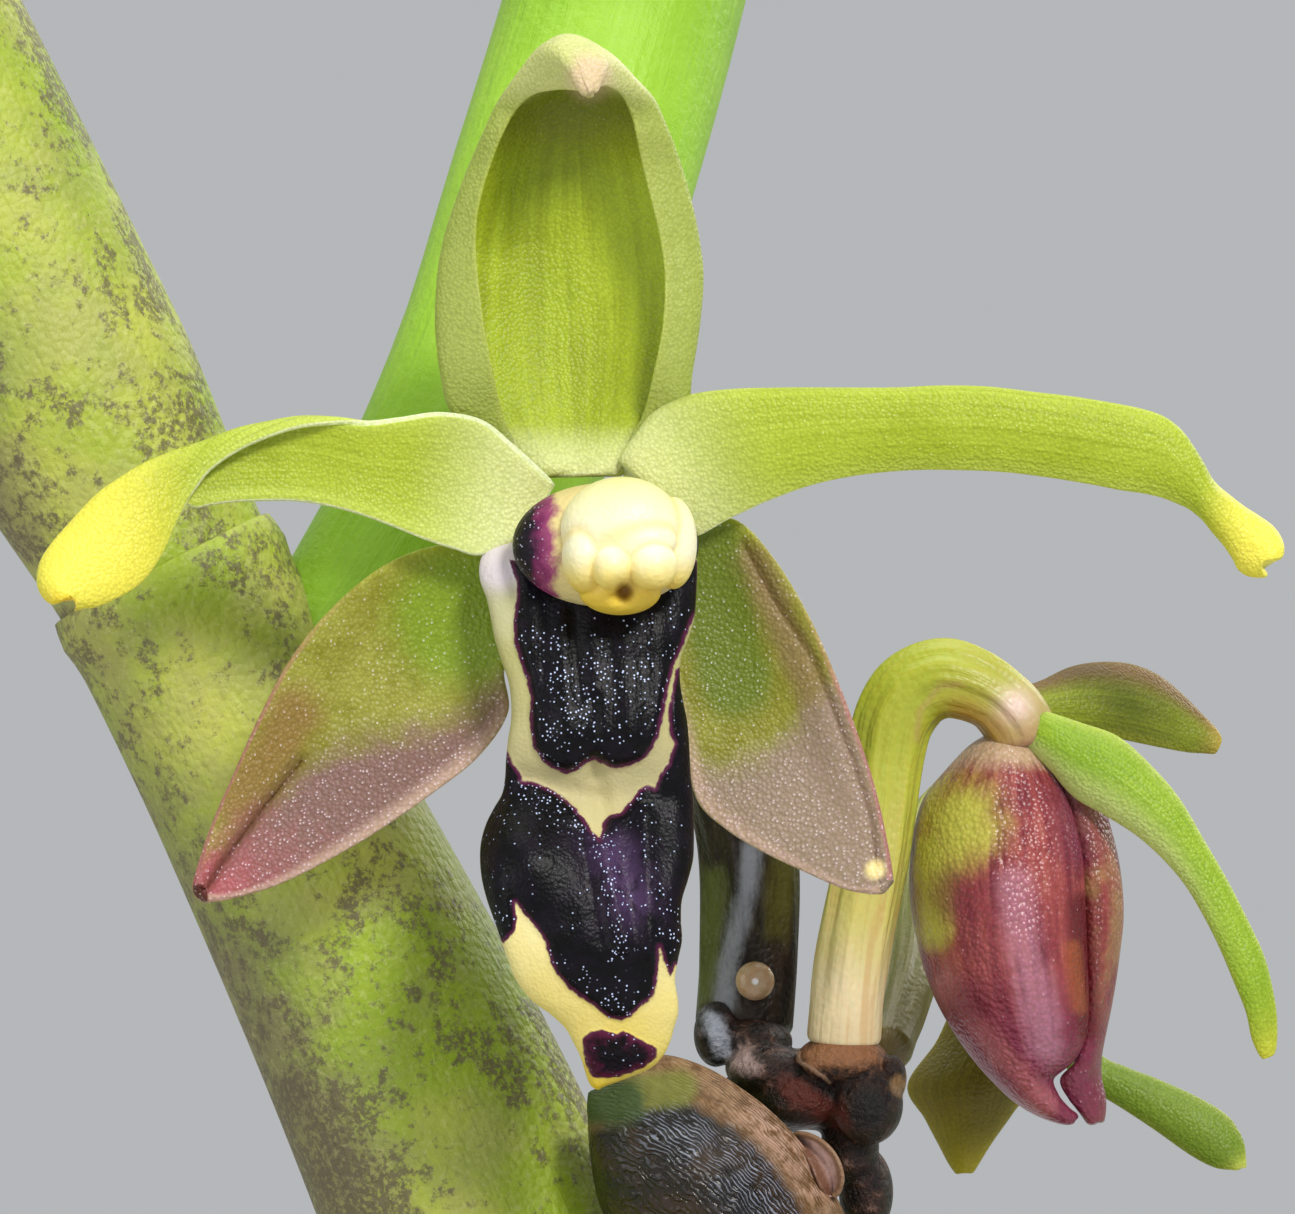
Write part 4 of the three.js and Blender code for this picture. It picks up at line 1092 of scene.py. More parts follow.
# painted highlights: pale blue-white dots on the dark flank
highlight_dots = finish.painted_highlights(0.07, 0.38, 0.14, 0.32, 0.05)
colour = (highlight_dots * (1 - inward.over(0.3, 0.7)) * 0.8).tint(colour, (0.66, 0.66, 0.85))
finish.skin(
    Base_Color=colour,
    Roughness=0.36 + finish.cloud(0.3) * 0.15,
    Normal=finish.bumped(finish.cells(0.07), -0.012),
    Specular_IOR_Level=0.2,
    Subsurface_Weight=0.05,
    Subsurface_Scale=0.0004,
)
open_flower = {"column": column}  # the pieces of which copies stand in the closing flowers
fitted(column, "column_open", finish.material, "column", "column_1")

# Its anther cap: a cream dome on the end of the column, with a brow, two round lobes under it and a yellow
# plate with a brown dimple at the bottom. Its parts are modelled as balls that grow together.

LOBES = [  # middle, widths in units, depth of the middle and depth of the ball in mm
    ((622, 530), (61, 53), -1.40, 0.80), ((673, 543), (24, 46), -1.20, 0.55), ((586, 556), (24, 38), -1.50, 0.66),
    ((612, 567), (20, 24), -1.98, 0.42), ((652, 566), (25, 25), -1.94, 0.46), ((632, 540), (44, 26), -1.80, 0.42),
    ((620, 591), (41, 24), -1.36, 0.50),
]


def grown(balls, grain, *others):
    """One skin, in mm, that balls and other pieces have grown into. `grain` is how fine it is."""
    pieces = list(others)
    for (x, y), (wide, high), depth, deep in balls:
        bpy.ops.object.select_all(action="DESELECT")
        bpy.ops.mesh.primitive_uv_sphere_add(segments=48, ring_count=32, radius=1, location=seen(x, y, depth))
        bpy.ops.transform.resize(value=(wide / UNITS, deep, high / UNITS))
        pieces.append(bpy.context.object)
    alone(pieces[-1])
    for piece in pieces:
        piece.select_set(True)
    bpy.ops.object.join()
    skin = bpy.context.object
    bpy.ops.object.transform_apply(location=True, rotation=True, scale=True)
    finished(skin, "REMESH", mode="VOXEL", voxel_size=grain)
    finished(skin, "SMOOTH", factor=0.5, iterations=3)
    return skin


cap = grown(LOBES, 0.024)
finished(cap, "SMOOTH", factor=0.5, iterations=9)
finished(cap, "DECIMATE", ratio=0.5)
spots = points_of(cap)
x, y = spot_of(spots)
reach = []
for at, (wide, high), depth, deep in LOBES:
    away = (spots - seen(*at, depth)) / (wide / UNITS, deep, high / UNITS)
    small = min(wide, high)
    reach.append(np.linalg.norm(away, axis=1) * small / UNITS - small / UNITS)
second = np.sort(reach, axis=0)[1]  # how far each point is from the lobe next to its own
seam = np.exp(-((second / 0.045) ** 2))
dent = hump(x, y, 624, 592, 8) * over(-0.9, -1.2, spots[:, 1] - HEART[1])
spots[:, 1] += 0.24 * dent + 0.02 * seam * over(-1.2, -1.7, spots[:, 1] - HEART[1])
paint(cap, "dimple", dent)
paint(cap, "seam", seam)
paint(cap, "below", (y - 478) / 140)
cap.data.vertices.foreach_set("co", (spots * MM).ravel())
alone(cap)
bpy.ops.object.shade_smooth()

finish = Finish("anther_cap")
below = finish.painted("below")
colour = (below + finish.cloud(0.5, 3) * 0.12 - 0.06).ramp(
    (0.0, (0.80, 0.76, 0.34)), (0.30, (0.92, 0.86, 0.56)), (0.52, (0.93, 0.88, 0.62)), (0.70, (0.90, 0.74, 0.24)),
    (0.84, (0.82, 0.58, 0.06)), (0.97, (0.70, 0.50, 0.05)),
)
# painted shade: the creases between the lobes are coloured deeper yellow
colour = (finish.painted("seam") * 0.40).tint(colour, (0.84, 0.62, 0.10))
colour = finish.painted("dimple").over(0.25, 0.9).tint(colour, (0.24, 0.115, 0.008))
finish.skin(
    Base_Color=colour,
    Roughness=0.36 + finish.cloud(0.2) * 0.12,
    Normal=finish.bumped(finish.cells(0.09), -0.010, finish.bumped(finish.cloud(0.3, 3), 0.02)),
    Specular_IOR_Level=0.35,
    Subsurface_Weight=0.15,
    Subsurface_Radius=(1.0, 0.8, 0.35),
    Subsurface_Scale=0.0003,
)
open_flower["anther_cap"] = cap
fitted(cap, "anther_cap_open", finish.material, "anther_cap", "anther_cap_1")

# Its lip: a thick fleshy tongue that hangs below the column. Its upper part, with a pale ear at the left, is
# ribbed and black purple down to a scalloped edge. A cream band divides it from the lower part, which is
# black purple again, ridged, and cream yellow at its edges, with a dark patch at the tip.

LIP_ROWS = [  # height on the plane, left and right edges, depth of the front, thickness in mm
    (536, 500, 690, -0.05, 0.7), (548, 487, 694, -0.15, 0.85), (562, 480, 697, -0.28, 0.95),
    (580, 480, 697, -0.42, 1.0), (600, 487, 696, -0.55, 1.0), (620, 491, 694, -0.65, 1.0),
    (640, 495, 688, -0.75, 1.0), (660, 501, 681, -0.82, 1.0), (680, 508, 680, -0.92, 1.0),
    (700, 511, 683, -1.0, 1.0), (720, 511, 687, -1.03, 1.0), (740, 508, 689, -1.05, 1.0),
    (760, 506, 690, -0.98, 0.95), (778, 505, 691, -0.86, 0.9), (794, 502, 693, -0.8, 0.9),
    (808, 494, 694, -0.85, 0.95), (824, 486, 694, -0.98, 1.0), (842, 481, 694, -1.15, 1.05),
    (860, 480, 693, -1.32, 1.05), (880, 482, 688, -1.48, 1.0), (900, 487, 682, -1.6, 0.95),
    (920, 494, 681, -1.66, 0.9), (940, 501, 682, -1.7, 0.85), (960, 508, 678, -1.68, 0.8),
    (980, 516, 675, -1.6, 0.75), (1000, 531, 678, -1.5, 0.7), (1014, 550, 678, -1.42, 0.65),
    (1028, 565, 674, -1.33, 0.62), (1042, 573, 670, -1.24, 0.6), (1056, 580, 663, -1.14, 0.58),
    (1068, 584, 651, -1.02, 0.55), (1078, 587, 628, -0.92, 0.5), (1086, 591, 606, -0.84, 0.45),
    (1090, 596, 600, -0.82, 0.4),
]
UPPER_DARK = [
    (517, 586), (516, 603), (513, 620), (514, 641), (519.5, 660), (527, 681), (530, 698), (529, 713), (530, 729),
    (533, 748), (542, 761), (554, 770), (567, 774), (578, 770), (586, 763), (594, 760), (603, 765), (615, 769),
    (630, 766), (645, 759), (653, 748), (659, 736), (664, 713), (669, 687), (674, 666), (683, 645), (691, 624),
    (700, 607), (700, 560), (510, 560),
]
LOWER_DARK = [
    (676, 668), (672, 690), (668, 712), (670, 735), (674, 742), (668, 763), (660, 774), (655, 789), (648, 785),
    (639, 789), (630, 802), (621, 812), (609, 815), (603, 823), (600, 839), (591, 829), (584, 818), (575, 807),
    (561, 795), (547, 787), (533, 781), (522, 781), (521, 774), (514, 765), (507, 751), (495, 745), (470, 800),
    (470, 940), (504, 943), (516, 930), (517, 917), (515, 902), (524, 914), (536, 928), (545, 942), (549, 958),
    (556, 974), (568, 988), (582, 999), (595, 1007), (607, 1017), (621, 1021), (630, 1017), (641, 1007), (653, 997),
    (657, 983), (659, 960), (660, 947), (663, 960), (670, 978), (676, 965), (700, 960), (710, 800), (700, 660),
]
TIP_DARK = [
    (582, 1038), (591, 1031), (602, 1029), (616, 1034), (623, 1030), (634, 1036), (644, 1041), (657, 1048),
    (657, 1057), (644, 1068), (625, 1075), (607, 1079), (593, 1077), (586, 1066), (583, 1050),
]
LIP_RISES = [  # its swellings, and with less than nought its grooves: how high in mm, and where
    (0.12, hump, 566, 728, 20), (0.12, hump, 625, 728, 22), (0.05, hump, 600, 640, 40),
    (-0.08, ridge, (594, 700), (594, 775), 5), (-0.05, ridge, (572, 610), (580, 700), 5),
    (0.34, hump, 524, 852, 30), (0.14, ridge, (602, 845), (624, 945), 7),
    (0.10, ridge, (645, 815), (650, 950), 7), (-0.05, ridge, (580, 830), (602, 940), 6),
    (-0.10, ridge, (596, 760), (604, 822), 7), (-0.08, ridge, (520, 776), (600, 800), 9),
    (0.14, hump, 497, 568, 17),
]
HIGHLIGHT_PLACES = [  # where painted highlights go: in lines down its upper part, and along the ridges of its lower part
    (0.9, ridge, (558, 625), (559, 700), 5), (0.85, hump, 585, 700, 22), (0.6, hump, 558, 738, 20),
    (0.45, hump, 628, 690, 26), (0.25, hump, 640, 640, 30), (0.35, hump, 530, 640, 12),
    (0.8, ridge, (520, 795), (570, 812), 10), (0.7, ridge, (575, 822), (600, 850), 7),
    (1.0, ridge, (604, 840), (622, 950), 6), (0.5, ridge, (640, 800), (655, 900), 8),
    (0.5, hump, 500, 925, 14), (0.45, hump, 674, 930, 14), (0.4, ridge, (550, 960), (620, 1005), 9),
    (0.35, ridge, (610, 960), (625, 1005), 9), (0.5, hump, 625, 1052, 12),
]


def summed(marks, x, y):
    """The sum of humps and ridges."""
    return sum(high * shape(x, y, *where) for high, shape, *where in marks)


def lip_place(t, turn):
    y, left, right, front, thick = eased(LIP_ROWS, t).T
    v, side = 0.5 - 0.5 * np.cos(turn), np.sin(turn)
    blunt = np.sqrt(np.clip(1 - (1 - np.clip(np.minimum(t, 1 - t) / 0.04, 0, 1)) ** 2, 0, 1))
    middle, half = (left + right) / 2, np.maximum(right - left, 1) / 2
    x = middle + (2 * v - 1) * half * (0.25 + 0.75 * blunt)
    facing = np.clip(-side, 0, 1)
    face = np.where(side > 0, side**0.9, -(facing**0.62))
    depth = front + thick / 2 + thick / 2 * face * blunt
    upper, lower, tip = (outline_depth(edge, x, y) for edge in (UPPER_DARK, LOWER_DARK, TIP_DARK))
    rise = 0.13 * over(-3, 9, upper) + 0.10 * over(-3, 8, lower) + 0.05 * over(-2, 6, tip)
    rise += 0.02 * np.sin(x / 5.2 + 0.5 * np.sin(y / 31)) * over(0, 16, upper) * over(560, 620, y)
    rise += summed(LIP_RISES, x, y)
    return seen(x, y, depth - rise * over(0.15, 0.6, facing))


def highlight_places(t, turn, spots):
    """How much painted highlight each point of the lip gets."""
    x, y = spot_of(spots)
    return np.clip(0.12 + summed(HIGHLIGHT_PLACES, x, y), 0, 1)


def lip_edges(edge):
    return lambda t, turn, spots: outline_depth(edge, *spot_of(spots)) / UNITS


def violets(t, turn, spots):
    """The violet flush on the middle ridge of its lower part."""
    x, y = spot_of(spots)
    return ridge(x, y, (604, 830), (632, 900), 18) * over(815, 850, y)


lip = ball(
    184, 320, lip_place,
    upper=lip_edges(UPPER_DARK), lower=lip_edges(LOWER_DARK), tip=lip_edges(TIP_DARK), gleam=highlight_places,
    front=lambda t, turn, spots: over(-0.25, 0.1, -np.sin(turn)),
    lilac=marked(hump, 496, 560, 26),
    down=lambda t, turn, spots: (spot_of(spots)[1] - 530) / 560,
    violet=violets,
)

finish = Finish("lip")
fray = (finish.cloud(0.14, 4) - 0.5) * 0.09
near = [finish.painted(edge) + fray for edge in ("upper", "lower", "tip")]
inside = finish.maths("MAXIMUM", finish.maths("MAXIMUM", near[0], near[1]), near[2])
dark = inside.over(-0.015, 0.02) * finish.painted("front")
pale = finish.frayed("down", finish.cloud(0.8, 3), 0.2).ramp(
    (0.0, (0.62, 0.60, 0.44)), (0.22, (0.44, 0.42, 0.17)), (0.45, (0.50, 0.44, 0.23)), (0.72, (0.80, 0.71, 0.33)),
    (0.92, (0.76, 0.62, 0.16)), (1.0, (0.66, 0.48, 0.03)),
)
pale = finish.painted("lilac").over(0.25, 0.8).tint(pale, (0.76, 0.68, 0.72))
black = finish.cloud(0.35, 4).over(0.4, 0.7).tint((0.0010, 0.0008, 0.0016), (0.0050, 0.0030, 0.0075))
violet = finish.painted("violet") * finish.cloud(0.3, 4).over(0.25, 0.6)
black = violet.tint(black, (0.060, 0.030, 0.085))
rimmed = inside.over(0.015, 0.09).tint((0.095, 0.012, 0.055), black)
blotch = near[2].over(-0.01, 0.03) * (finish.cloud(0.22, 4) + near[2] * -1.2).over(0.20, 0.55)
rimmed = (blotch * 0.9).tint(rimmed, (0.085, 0.008, 0.035))
colour = dark.tint(pale, rimmed)
CRYSTAL = 0.060
# painted highlights: blue-white dots on the dark parts where the lip catches the light
highlight_dots = finish.painted_highlights(CRYSTAL, finish.painted("gleam") * 0.80)
colour = (highlight_dots * dark * 0.95).tint(colour, (0.60, 0.70, 1.0))
ribs = finish.cloud(0.2, 3, finish.scaled(1, 1, 0.3))
finish.skin(
    Base_Color=colour,
    Roughness=0.42 - dark * 0.06 + finish.cloud(0.2) * 0.1,
    Normal=finish.bumped(finish.cells(CRYSTAL), -0.008, finish.bumped(ribs, 0.02)),
    Specular_IOR_Level=0.16,
    Subsurface_Weight=0.1,
    Subsurface_Radius=(1.0, 0.8, 0.4),
    Subsurface_Scale=0.0003,
)
open_flower["lip"] = lip
fitted(lip, "lip_open", finish.material, "lip", "lip_1")

# The spike: a short brown axis that comes out of a sheath of the front cane. It is swollen and wrinkled where
# each flower stalk has grown, glossy, and black where a stalk has fallen. Its knobs grow out of one axis.


def beside(points):
    """Points given in mm from the open flower's heart."""
    return [tuple(HEART + point) for point in np.array(points, dtype=float)]


AXIS = beside([
    (0.5, 4.9, -14.6), (1.5, 4.8, -12.6), (2.3, 4.4, -10.7), (3.2, 3.8, -10.05), (4.2, 3.6, -10.1), (5, 3.8, -10.4),
])
KNOBS = [  # middle, widths in units, depth of the middle and depth of the ball in mm
    ((716, 1034), (23, 34), 3.9, 0.55), ((748, 1042), (46, 28), 4.2, 0.85), ((764, 1068), (40, 25), 3.4, 0.70),
    ((800, 1096), (44, 34), 3.3, 0.72), ((842, 1060), (47, 27), 3.0, 0.72), ((868, 1104), (36, 42), 2.9, 0.62),
    ((894, 1078), (13, 24), 3.1, 0.35), ((850, 1146), (30, 40), 3.5, 0.60), ((866, 1192), (28, 46), 3.7, 0.55),
]
LIGHT_LINE = [(797, 1042), (799, 1061), (818, 1073), (830, 1083)]  # the edge of a fallen scale

axis = tube(AXIS, lambda s: 0.70, 48, 90, (0.5, 0.6))
axis.data.transform(Matrix.Scale(1 / MM, 4))
spike = grown(KNOBS, 0.05, axis)
finished(spike, "DECIMATE", ratio=0.6)
spots = points_of(spike)
x, y = spot_of(spots)
line = np.exp(-((line_gap(LIGHT_LINE, x, y) / 2.2) ** 2))
spots[:, 1] -= 0.05 * line
for name, worth in {
    "line": line,
    "scar": hump(x, y, 870, 1107, 17),
    "grey": ridge(x, y, (712, 1020), (722, 1050), 9),
    "pink": hump(x, y, 742, 1062, 13),
    "collar": ridge(x, y, (818, 1054), (868, 1054), 13),
    "rust": ridge(x, y, (790, 1088), (838, 1118), 11),
    "gold": hump(x, y, 899, 1085, 9),
}.items():
    paint(spike, name, worth)
spike.data.vertices.foreach_set("co", (spots * MM).ravel())
alone(spike)
bpy.ops.object.shade_smooth()

finish = Finish("spike")
wrinkle = finish.cloud(0.26, 5, roughness=0.68)
colour = wrinkle.ramp((0.38, (0.004, 0.002, 0.002)), (0.54, (0.024, 0.009, 0.006)), (0.72, (0.10, 0.042, 0.024)))
# the grey and pink patches are painted highlights on knobs; the collar is its own orange brown with painted
# highlight
for name, much, tone in (
    ("collar", 0.85, (0.30, 0.13, 0.055)), ("rust", 0.8, (0.085, 0.010, 0.004)), ("pink", 0.8, (0.38, 0.27, 0.25)),
    ("grey", 0.85, (0.33, 0.36, 0.43)), ("gold", 0.7, (0.28, 0.16, 0.06)), ("line", 0.7, (0.42, 0.26, 0.17)),
    ("scar", 1.0, (0.004, 0.004, 0.003)),
):
    colour = (finish.frayed(name, wrinkle, 1.6).over(0.15, 0.95) * much).tint(colour, tone)
finish.skin(
    Base_Color=colour,
    Roughness=0.22 + wrinkle * 0.35,
    Normal=finish.bumped(wrinkle, 0.16, finish.bumped(finish.cells(0.10), 0.02)),
    Specular_IOR_Level=0.32,
)
fitted(spike, "spike_axis", finish.material, "flower_spike", "flower_spike")

# The large bract: the papery scale that wrapped the young stalks. It has gone black and glossy, with a fine
# print of wrinkles like a fingertip's, and keeps a paler margin along its free rim.

BRACT = [  # upper edge, middle, lower edge, depths of the edges and the middle
    ((588, 1094), (590, 1102), (593, 1110), 2.9, 2.8), ((612, 1083), (603, 1118), (592, 1152), 2.8, 2.3),
    ((652, 1056), (633, 1128), (600, 1202), 2.7, 1.9), ((702, 1066), (674, 1152), (622, 1248), 2.65, 1.65),
    ((754, 1098), (718, 1190), (662, 1292), 2.6, 1.55), ((793, 1134), (762, 1232), (706, 1328), 2.6, 1.6),
    ((822, 1174), (802, 1272), (762, 1352), 2.7, 1.8), ((843, 1213), (836, 1302), (816, 1362), 2.8, 2.1),
    ((858, 1258), (856, 1322), (850, 1372), 2.9, 2.5), ((863, 1308), (863, 1336), (863, 1366), 3.0, 2.9),
]
RIM = [upper for upper, *_ in BRACT]
rows = []
for upper, middle, lower, edge_depth, depth in BRACT:
    rows.append([
        (*upper, edge_depth), (*part_way(upper, middle, 0.4), depth * 0.6 + edge_depth * 0.4), (*middle, depth),
        (*part_way(lower, middle, 0.4), depth * 0.6 + edge_depth * 0.4), (*lower, edge_depth + 0.3),
    ])
bract = tepal(
    lofted(rows), lambda u, v: 0.20, 112, 124,
    inward=lambda t, turn, spots: line_gap(RIM, *spot_of(spots)) / UNITS,
    olive=marked(ridge, (640, 1092), (680, 1088), 15),
    moss=marked(ridge, (592, 1102), (622, 1102), 18),
    rosy=marked(ridge, (765, 1118), (815, 1172), 22),
    glint=most(marked(ridge, (662, 1125), (735, 1158), 22), marked(ridge, (735, 1158), (795, 1212), 26)),
)
finish = Finish("large_bract")
fine, broad = finish.cloud(0.22, 4, roughness=0.65), finish.cloud(0.9, 3)
print_lines = {
    "Vector": finish.place, "Scale": 5.2, "Distortion": 14.0, "Detail": 2.0, "Detail Scale": 0.45,
    "Detail Roughness": 0.5,
}
swirl = finish.node("TexWave", {"wave_type": "BANDS", "bands_direction": "DIAGONAL"}, print_lines, 1)
inward = finish.painted("inward") + fine * 0.35 + broad * 0.25 - 0.30
margin = 1 - inward.over(0.45, 0.72)
colour = broad.over(0.4, 0.7).tint((0.005, 0.004, 0.003), (0.035, 0.018, 0.007))
# painted highlight: pale blue-white glints on the wrinkles along a lit ridge
shine = finish.painted("glint") * swirl.over(0.6, 0.95) * fine.over(0.38, 0.58) * 0.7
colour = shine.tint(colour, (0.30, 0.33, 0.42))
brown = fine.over(0.35, 0.65).tint((0.14, 0.070, 0.024), (0.28, 0.165, 0.080))
colour = margin.tint(colour, brown)
colour = (finish.painted("rosy") * margin * fine.over(0.35, 0.65) * 0.8).tint(colour, (0.46, 0.28, 0.21))
colour = (finish.frayed("olive", fine).over(0.2, 0.8) * 0.9).tint(colour, (0.17, 0.18, 0.028))
colour = (finish.frayed("moss", fine).over(0.15, 0.7) * 0.95).tint(colour, (0.030, 0.060, 0.010))
finish.skin(
    Base_Color=colour,
    Roughness=0.20 + margin * 0.22 + fine * 0.12,
    Normal=finish.bumped(swirl, 0.018, finish.bumped(fine, 0.04)),
    Specular_IOR_Level=0.4,
)
fitted(bract, "large_bract", finish.material, "bract", "spike_bract")

# The small bract: a scale beside the large one that has curled up, brown outside and along its rim and pink
# in the hollow.

CURLED = [  # outer edge, inner edge, depth
    ((793, 1133), (791, 1142), 2.8), ((808, 1134), (799, 1150), 2.6), ((824, 1142), (808, 1162), 2.4),
    ((837, 1157), (814, 1174), 2.3), ((843, 1176), (819, 1186), 2.3), ((840, 1190), (824, 1193), 2.4),
    ((833, 1197), (829, 1196), 2.5),
]
rows = []
for outer, inner, depth in CURLED:
    rows.append([
        (*outer, depth - 0.1), (*part_way(outer, inner, 0.2), depth + 0.15),
        (*part_way(outer, inner, 0.5), depth + 0.28), (*inner, depth),
    ])
curled = tepal(lofted(rows), lambda u, v: 0.13, 64, 80)
finish = Finish("curled_bract")
crumple = finish.cloud(0.25, 4)
across = finish.painted("across")
colour = crumple.ramp((0.35, (0.40, 0.24, 0.20)), (0.62, (0.66, 0.46, 0.42)))
colour = (1 - (across + crumple * 0.4 - 0.2).over(-0.85, -0.45)).tint(colour, (0.24, 0.135, 0.075))
colour = across.over(0.3, 0.8).tint(colour, (0.16, 0.07, 0.04))
finish.skin(Base_Color=colour, Roughness=0.42, Normal=finish.bumped(crumple, 0.10))
fitted(curled, "curled_bract", finish.material, "bract", "small_bract")

# The open flower's stalk: dark purple brown and glossy, with a painted grey highlight streak down its left side
# and olive where it leaves the shade of the sepal.

STALK = beside([
    (2.42, 4.5, -9.3), (2.55, 4.8, -7.6), (2.5, 4.6, -5.6), (1.75, 3.8, -3.2), (0.75, 2.6, -1.3), (0.2, 1.5, -0.2),
])
HIGHLIGHT_STREAK = [(752, 850), (745, 900), (735, 935), (727, 973), (723, 1002)]  # the line of the painted highlight streak
stalk = tube(
    STALK, lambda s: 0.84 - 0.20 * over(4, 9, s), 60, 130, (0.4, 0.4),
    lambda s, turn: (0.035 * np.cos(5 * turn + 1) + 0.02 * np.cos(11 * turn + s)) * over(0.4, 1.6, s),
    bloom=lined(HIGHLIGHT_STREAK, 13),
    left=marked(ridge, (716, 880), (706, 990), 13),
    right=marked(ridge, (788, 850), (776, 925), 15),
)
finish = Finish("flower_stalk_1")
lengthwise = finish.cloud(0.30, 5, finish.stretched(1, 1, 0.25), 0.7)
colour = lengthwise.ramp((0.38, (0.007, 0.004, 0.004)), (0.58, (0.030, 0.018, 0.012)), (0.75, (0.075, 0.045, 0.03)))
# the grey streak is a painted highlight along the glossy stalk
for name, much, tone in (
    ("left", 0.85, (0.10, 0.12, 0.022)), ("right", 0.85, (0.075, 0.07, 0.010)),
    ("bloom", 0.95, (0.24, 0.255, 0.30)),
):
    colour = (finish.frayed(name, lengthwise, 1.6).over(0.10, 1.10) * much).tint(colour, tone)
finish.skin(
    Base_Color=colour,
    Roughness=0.26 + lengthwise * 0.25,
    Normal=finish.bumped(lengthwise, 0.06, finish.bumped(finish.cells(0.11), -0.02)),
    Specular_IOR_Level=0.3,
)
fitted(stalk, "stalk_1", finish.material, "flower_stalk", "flower_stalk_1")

# The closing flowers' stalks: tan at the foot and yellow green above, with fine ribs. The second arches over
# and ends in a pink knuckle above its pod; the third goes up behind it.

HOOKED = [
    (843, 1052, 3.1), (846, 1010, 3.0), (852, 960, 3.0), (862, 905, 3.0), (873, 850, 3.0), (880, 800, 3.05),
    (886, 755, 3.1), (895, 718, 3.1), (914, 691, 3.1), (942, 679, 3.05), (972, 685, 3.0), (999, 701, 3.0),
    (1017, 723, 3.05), (1024, 745, 3.15),
]
RISING = [
    (884, 1056, 4.4), (897, 1015, 5.6), (908, 975, 6.8), (915, 930, 8.2), (921, 880, 9.4), (932, 835, 10.6),
    (958, 803, 11.6), (985, 795, 11.95),
]
HOOKED_RADII = (  # distances along the stalk, and its radius at each
    [0, 0.8, 2.5, 4, 5.2, 6.2, 7.0, 7.9, 8.6, 9.3, 10],
    [0.64, 0.62, 0.60, 0.60, 0.63, 0.68, 0.66, 0.56, 0.60, 0.58, 0.50],
)
ARCH_FOLD = [(917, 740), (919, 712), (940, 686), (960, 684)]


def ribbed(s, turn):
    ribs = 0.035 * np.cos(6 * turn + 2) + 0.018 * np.cos(13 * turn + s)
    return ribs * over(0.4, 1.6, s) * (1 - over(8, 9, s))


for number, spots, radius in (
    (2, HOOKED, lambda s: np.interp(s, *HOOKED_RADII)), (3, RISING, lambda s: 0.46 + 0.06 * over(1, 4, s)),
):
    stalk = tube(
        [tuple(seen(*spot)) for spot in spots], radius, 60, 136, (0.3, 0.3), ribbed,
        along=lambda t, turn, spots: t,
        under=marked(ridge, (962, 716), (990, 730), 15),
        knuckle=marked(hump, 1016, 705, 13),
        crease=lined(ARCH_FOLD, 3.5),
    )
    finish = Finish(f"flower_stalk_{number}")
    along = finish.painted("along")
    ribs = finish.cloud(0.20, 3, finish.stretched(1, 1, 0.07))
    if number == 2:
        colour = (along + finish.cloud(0.8, 3) * 0.12 - 0.06).ramp(
            (0.0, (0.36, 0.18, 0.09)), (0.06, (0.60, 0.46, 0.28)), (0.20, (0.70, 0.58, 0.34)),
            (0.33, (0.58, 0.52, 0.14)), (0.50, (0.48, 0.50, 0.060)), (0.70, (0.38, 0.42, 0.022)),
            (0.80, (0.38, 0.38, 0.04)), (0.88, (0.42, 0.26, 0.11)), (0.95, (0.52, 0.27, 0.22)),
            (1.0, (0.60, 0.42, 0.34)),
        )
        colour = ((1 - ribs.over(0.36, 0.54)) * (1 - along.over(0.3, 0.6)) * 0.5).tint(colour, (0.52, 0.30, 0.10))
        # painted shade: the underside of the arch is darkened orange brown
        colour = (finish.painted("under") * 0.85).tint(colour, (0.34, 0.17, 0.015))
        colour = (finish.painted("crease") * 0.5).tint(colour, (0.42, 0.24, 0.10))
        # painted highlight: whitish pink on the knuckle
        colour = (finish.painted("knuckle") * 0.7).tint(colour, (0.86, 0.62, 0.62))
    else:
        colour = (along + ribs * 0.15 - 0.07).ramp(
            (0.05, (0.13, 0.10, 0.03)), (0.35, (0.22, 0.21, 0.03)), (0.9, (0.30, 0.33, 0.04))
        )
    finish.skin(
        Base_Color=colour,
        Roughness=0.36 + ribs * 0.15,
        Normal=finish.bumped(ribs, 0.06, finish.bumped(finish.cells(0.12), -0.012)),
        Subsurface_Weight=0.18,
        Subsurface_Scale=0.0006,
    )
    fitted(stalk, f"stalk_{number}", finish.material, "flower_stalk", f"flower_stalk_{number}")

# The drop of nectar on the open flower's stalk: a bead with a tan rim, dried on the outside.


def bead_place(t, turn):
    centre = seen(755, 981, 3.75)
    wide, front = np.sin(math.pi * t), np.cos(math.pi * t)
    facing = np.stack([wide * np.cos(turn), front, wide * np.sin(turn)], axis=1)
    rolled = 0.30 + 0.035 * wide**6 - 0.10 * np.exp(-(((1 - t) / 0.22) ** 2))
    return centre + facing * rolled[:, None]


def bead_ring(t, turn, spots):
    """1 on the bead's rim and back, 0 on its front, which is painted pale as a highlight."""
    return over(0.22, 0.30, np.sin(math.pi * t)) * over(0.5, 0.51, t) + over(0.51, 0.5, t)


bead = ball(48, 48, bead_place, ring=bead_ring)
finish = Finish("nectar")
# painted highlight: the bead's front is coloured near white
colour = (finish.painted("ring") * (0.7 + finish.cloud(0.15) * 0.5)).tint((0.80, 0.78, 0.80), (0.42, 0.28, 0.15))
finish.skin(
    Base_Color=colour,
    Roughness=0.18,
    Normal=finish.bumped(finish.cloud(0.1), 0.03),
    Subsurface_Weight=0.3,
    Subsurface_Scale=0.0004,
)
fitted(bead, "nectar_bead", finish.material, "sap", "sap_drop")

# The second flower, which is closing: its two lateral sepals wrap round the lip in a maroon pod that hangs
# down, notched at the tip. Green and gold show where the colour hasn't run.

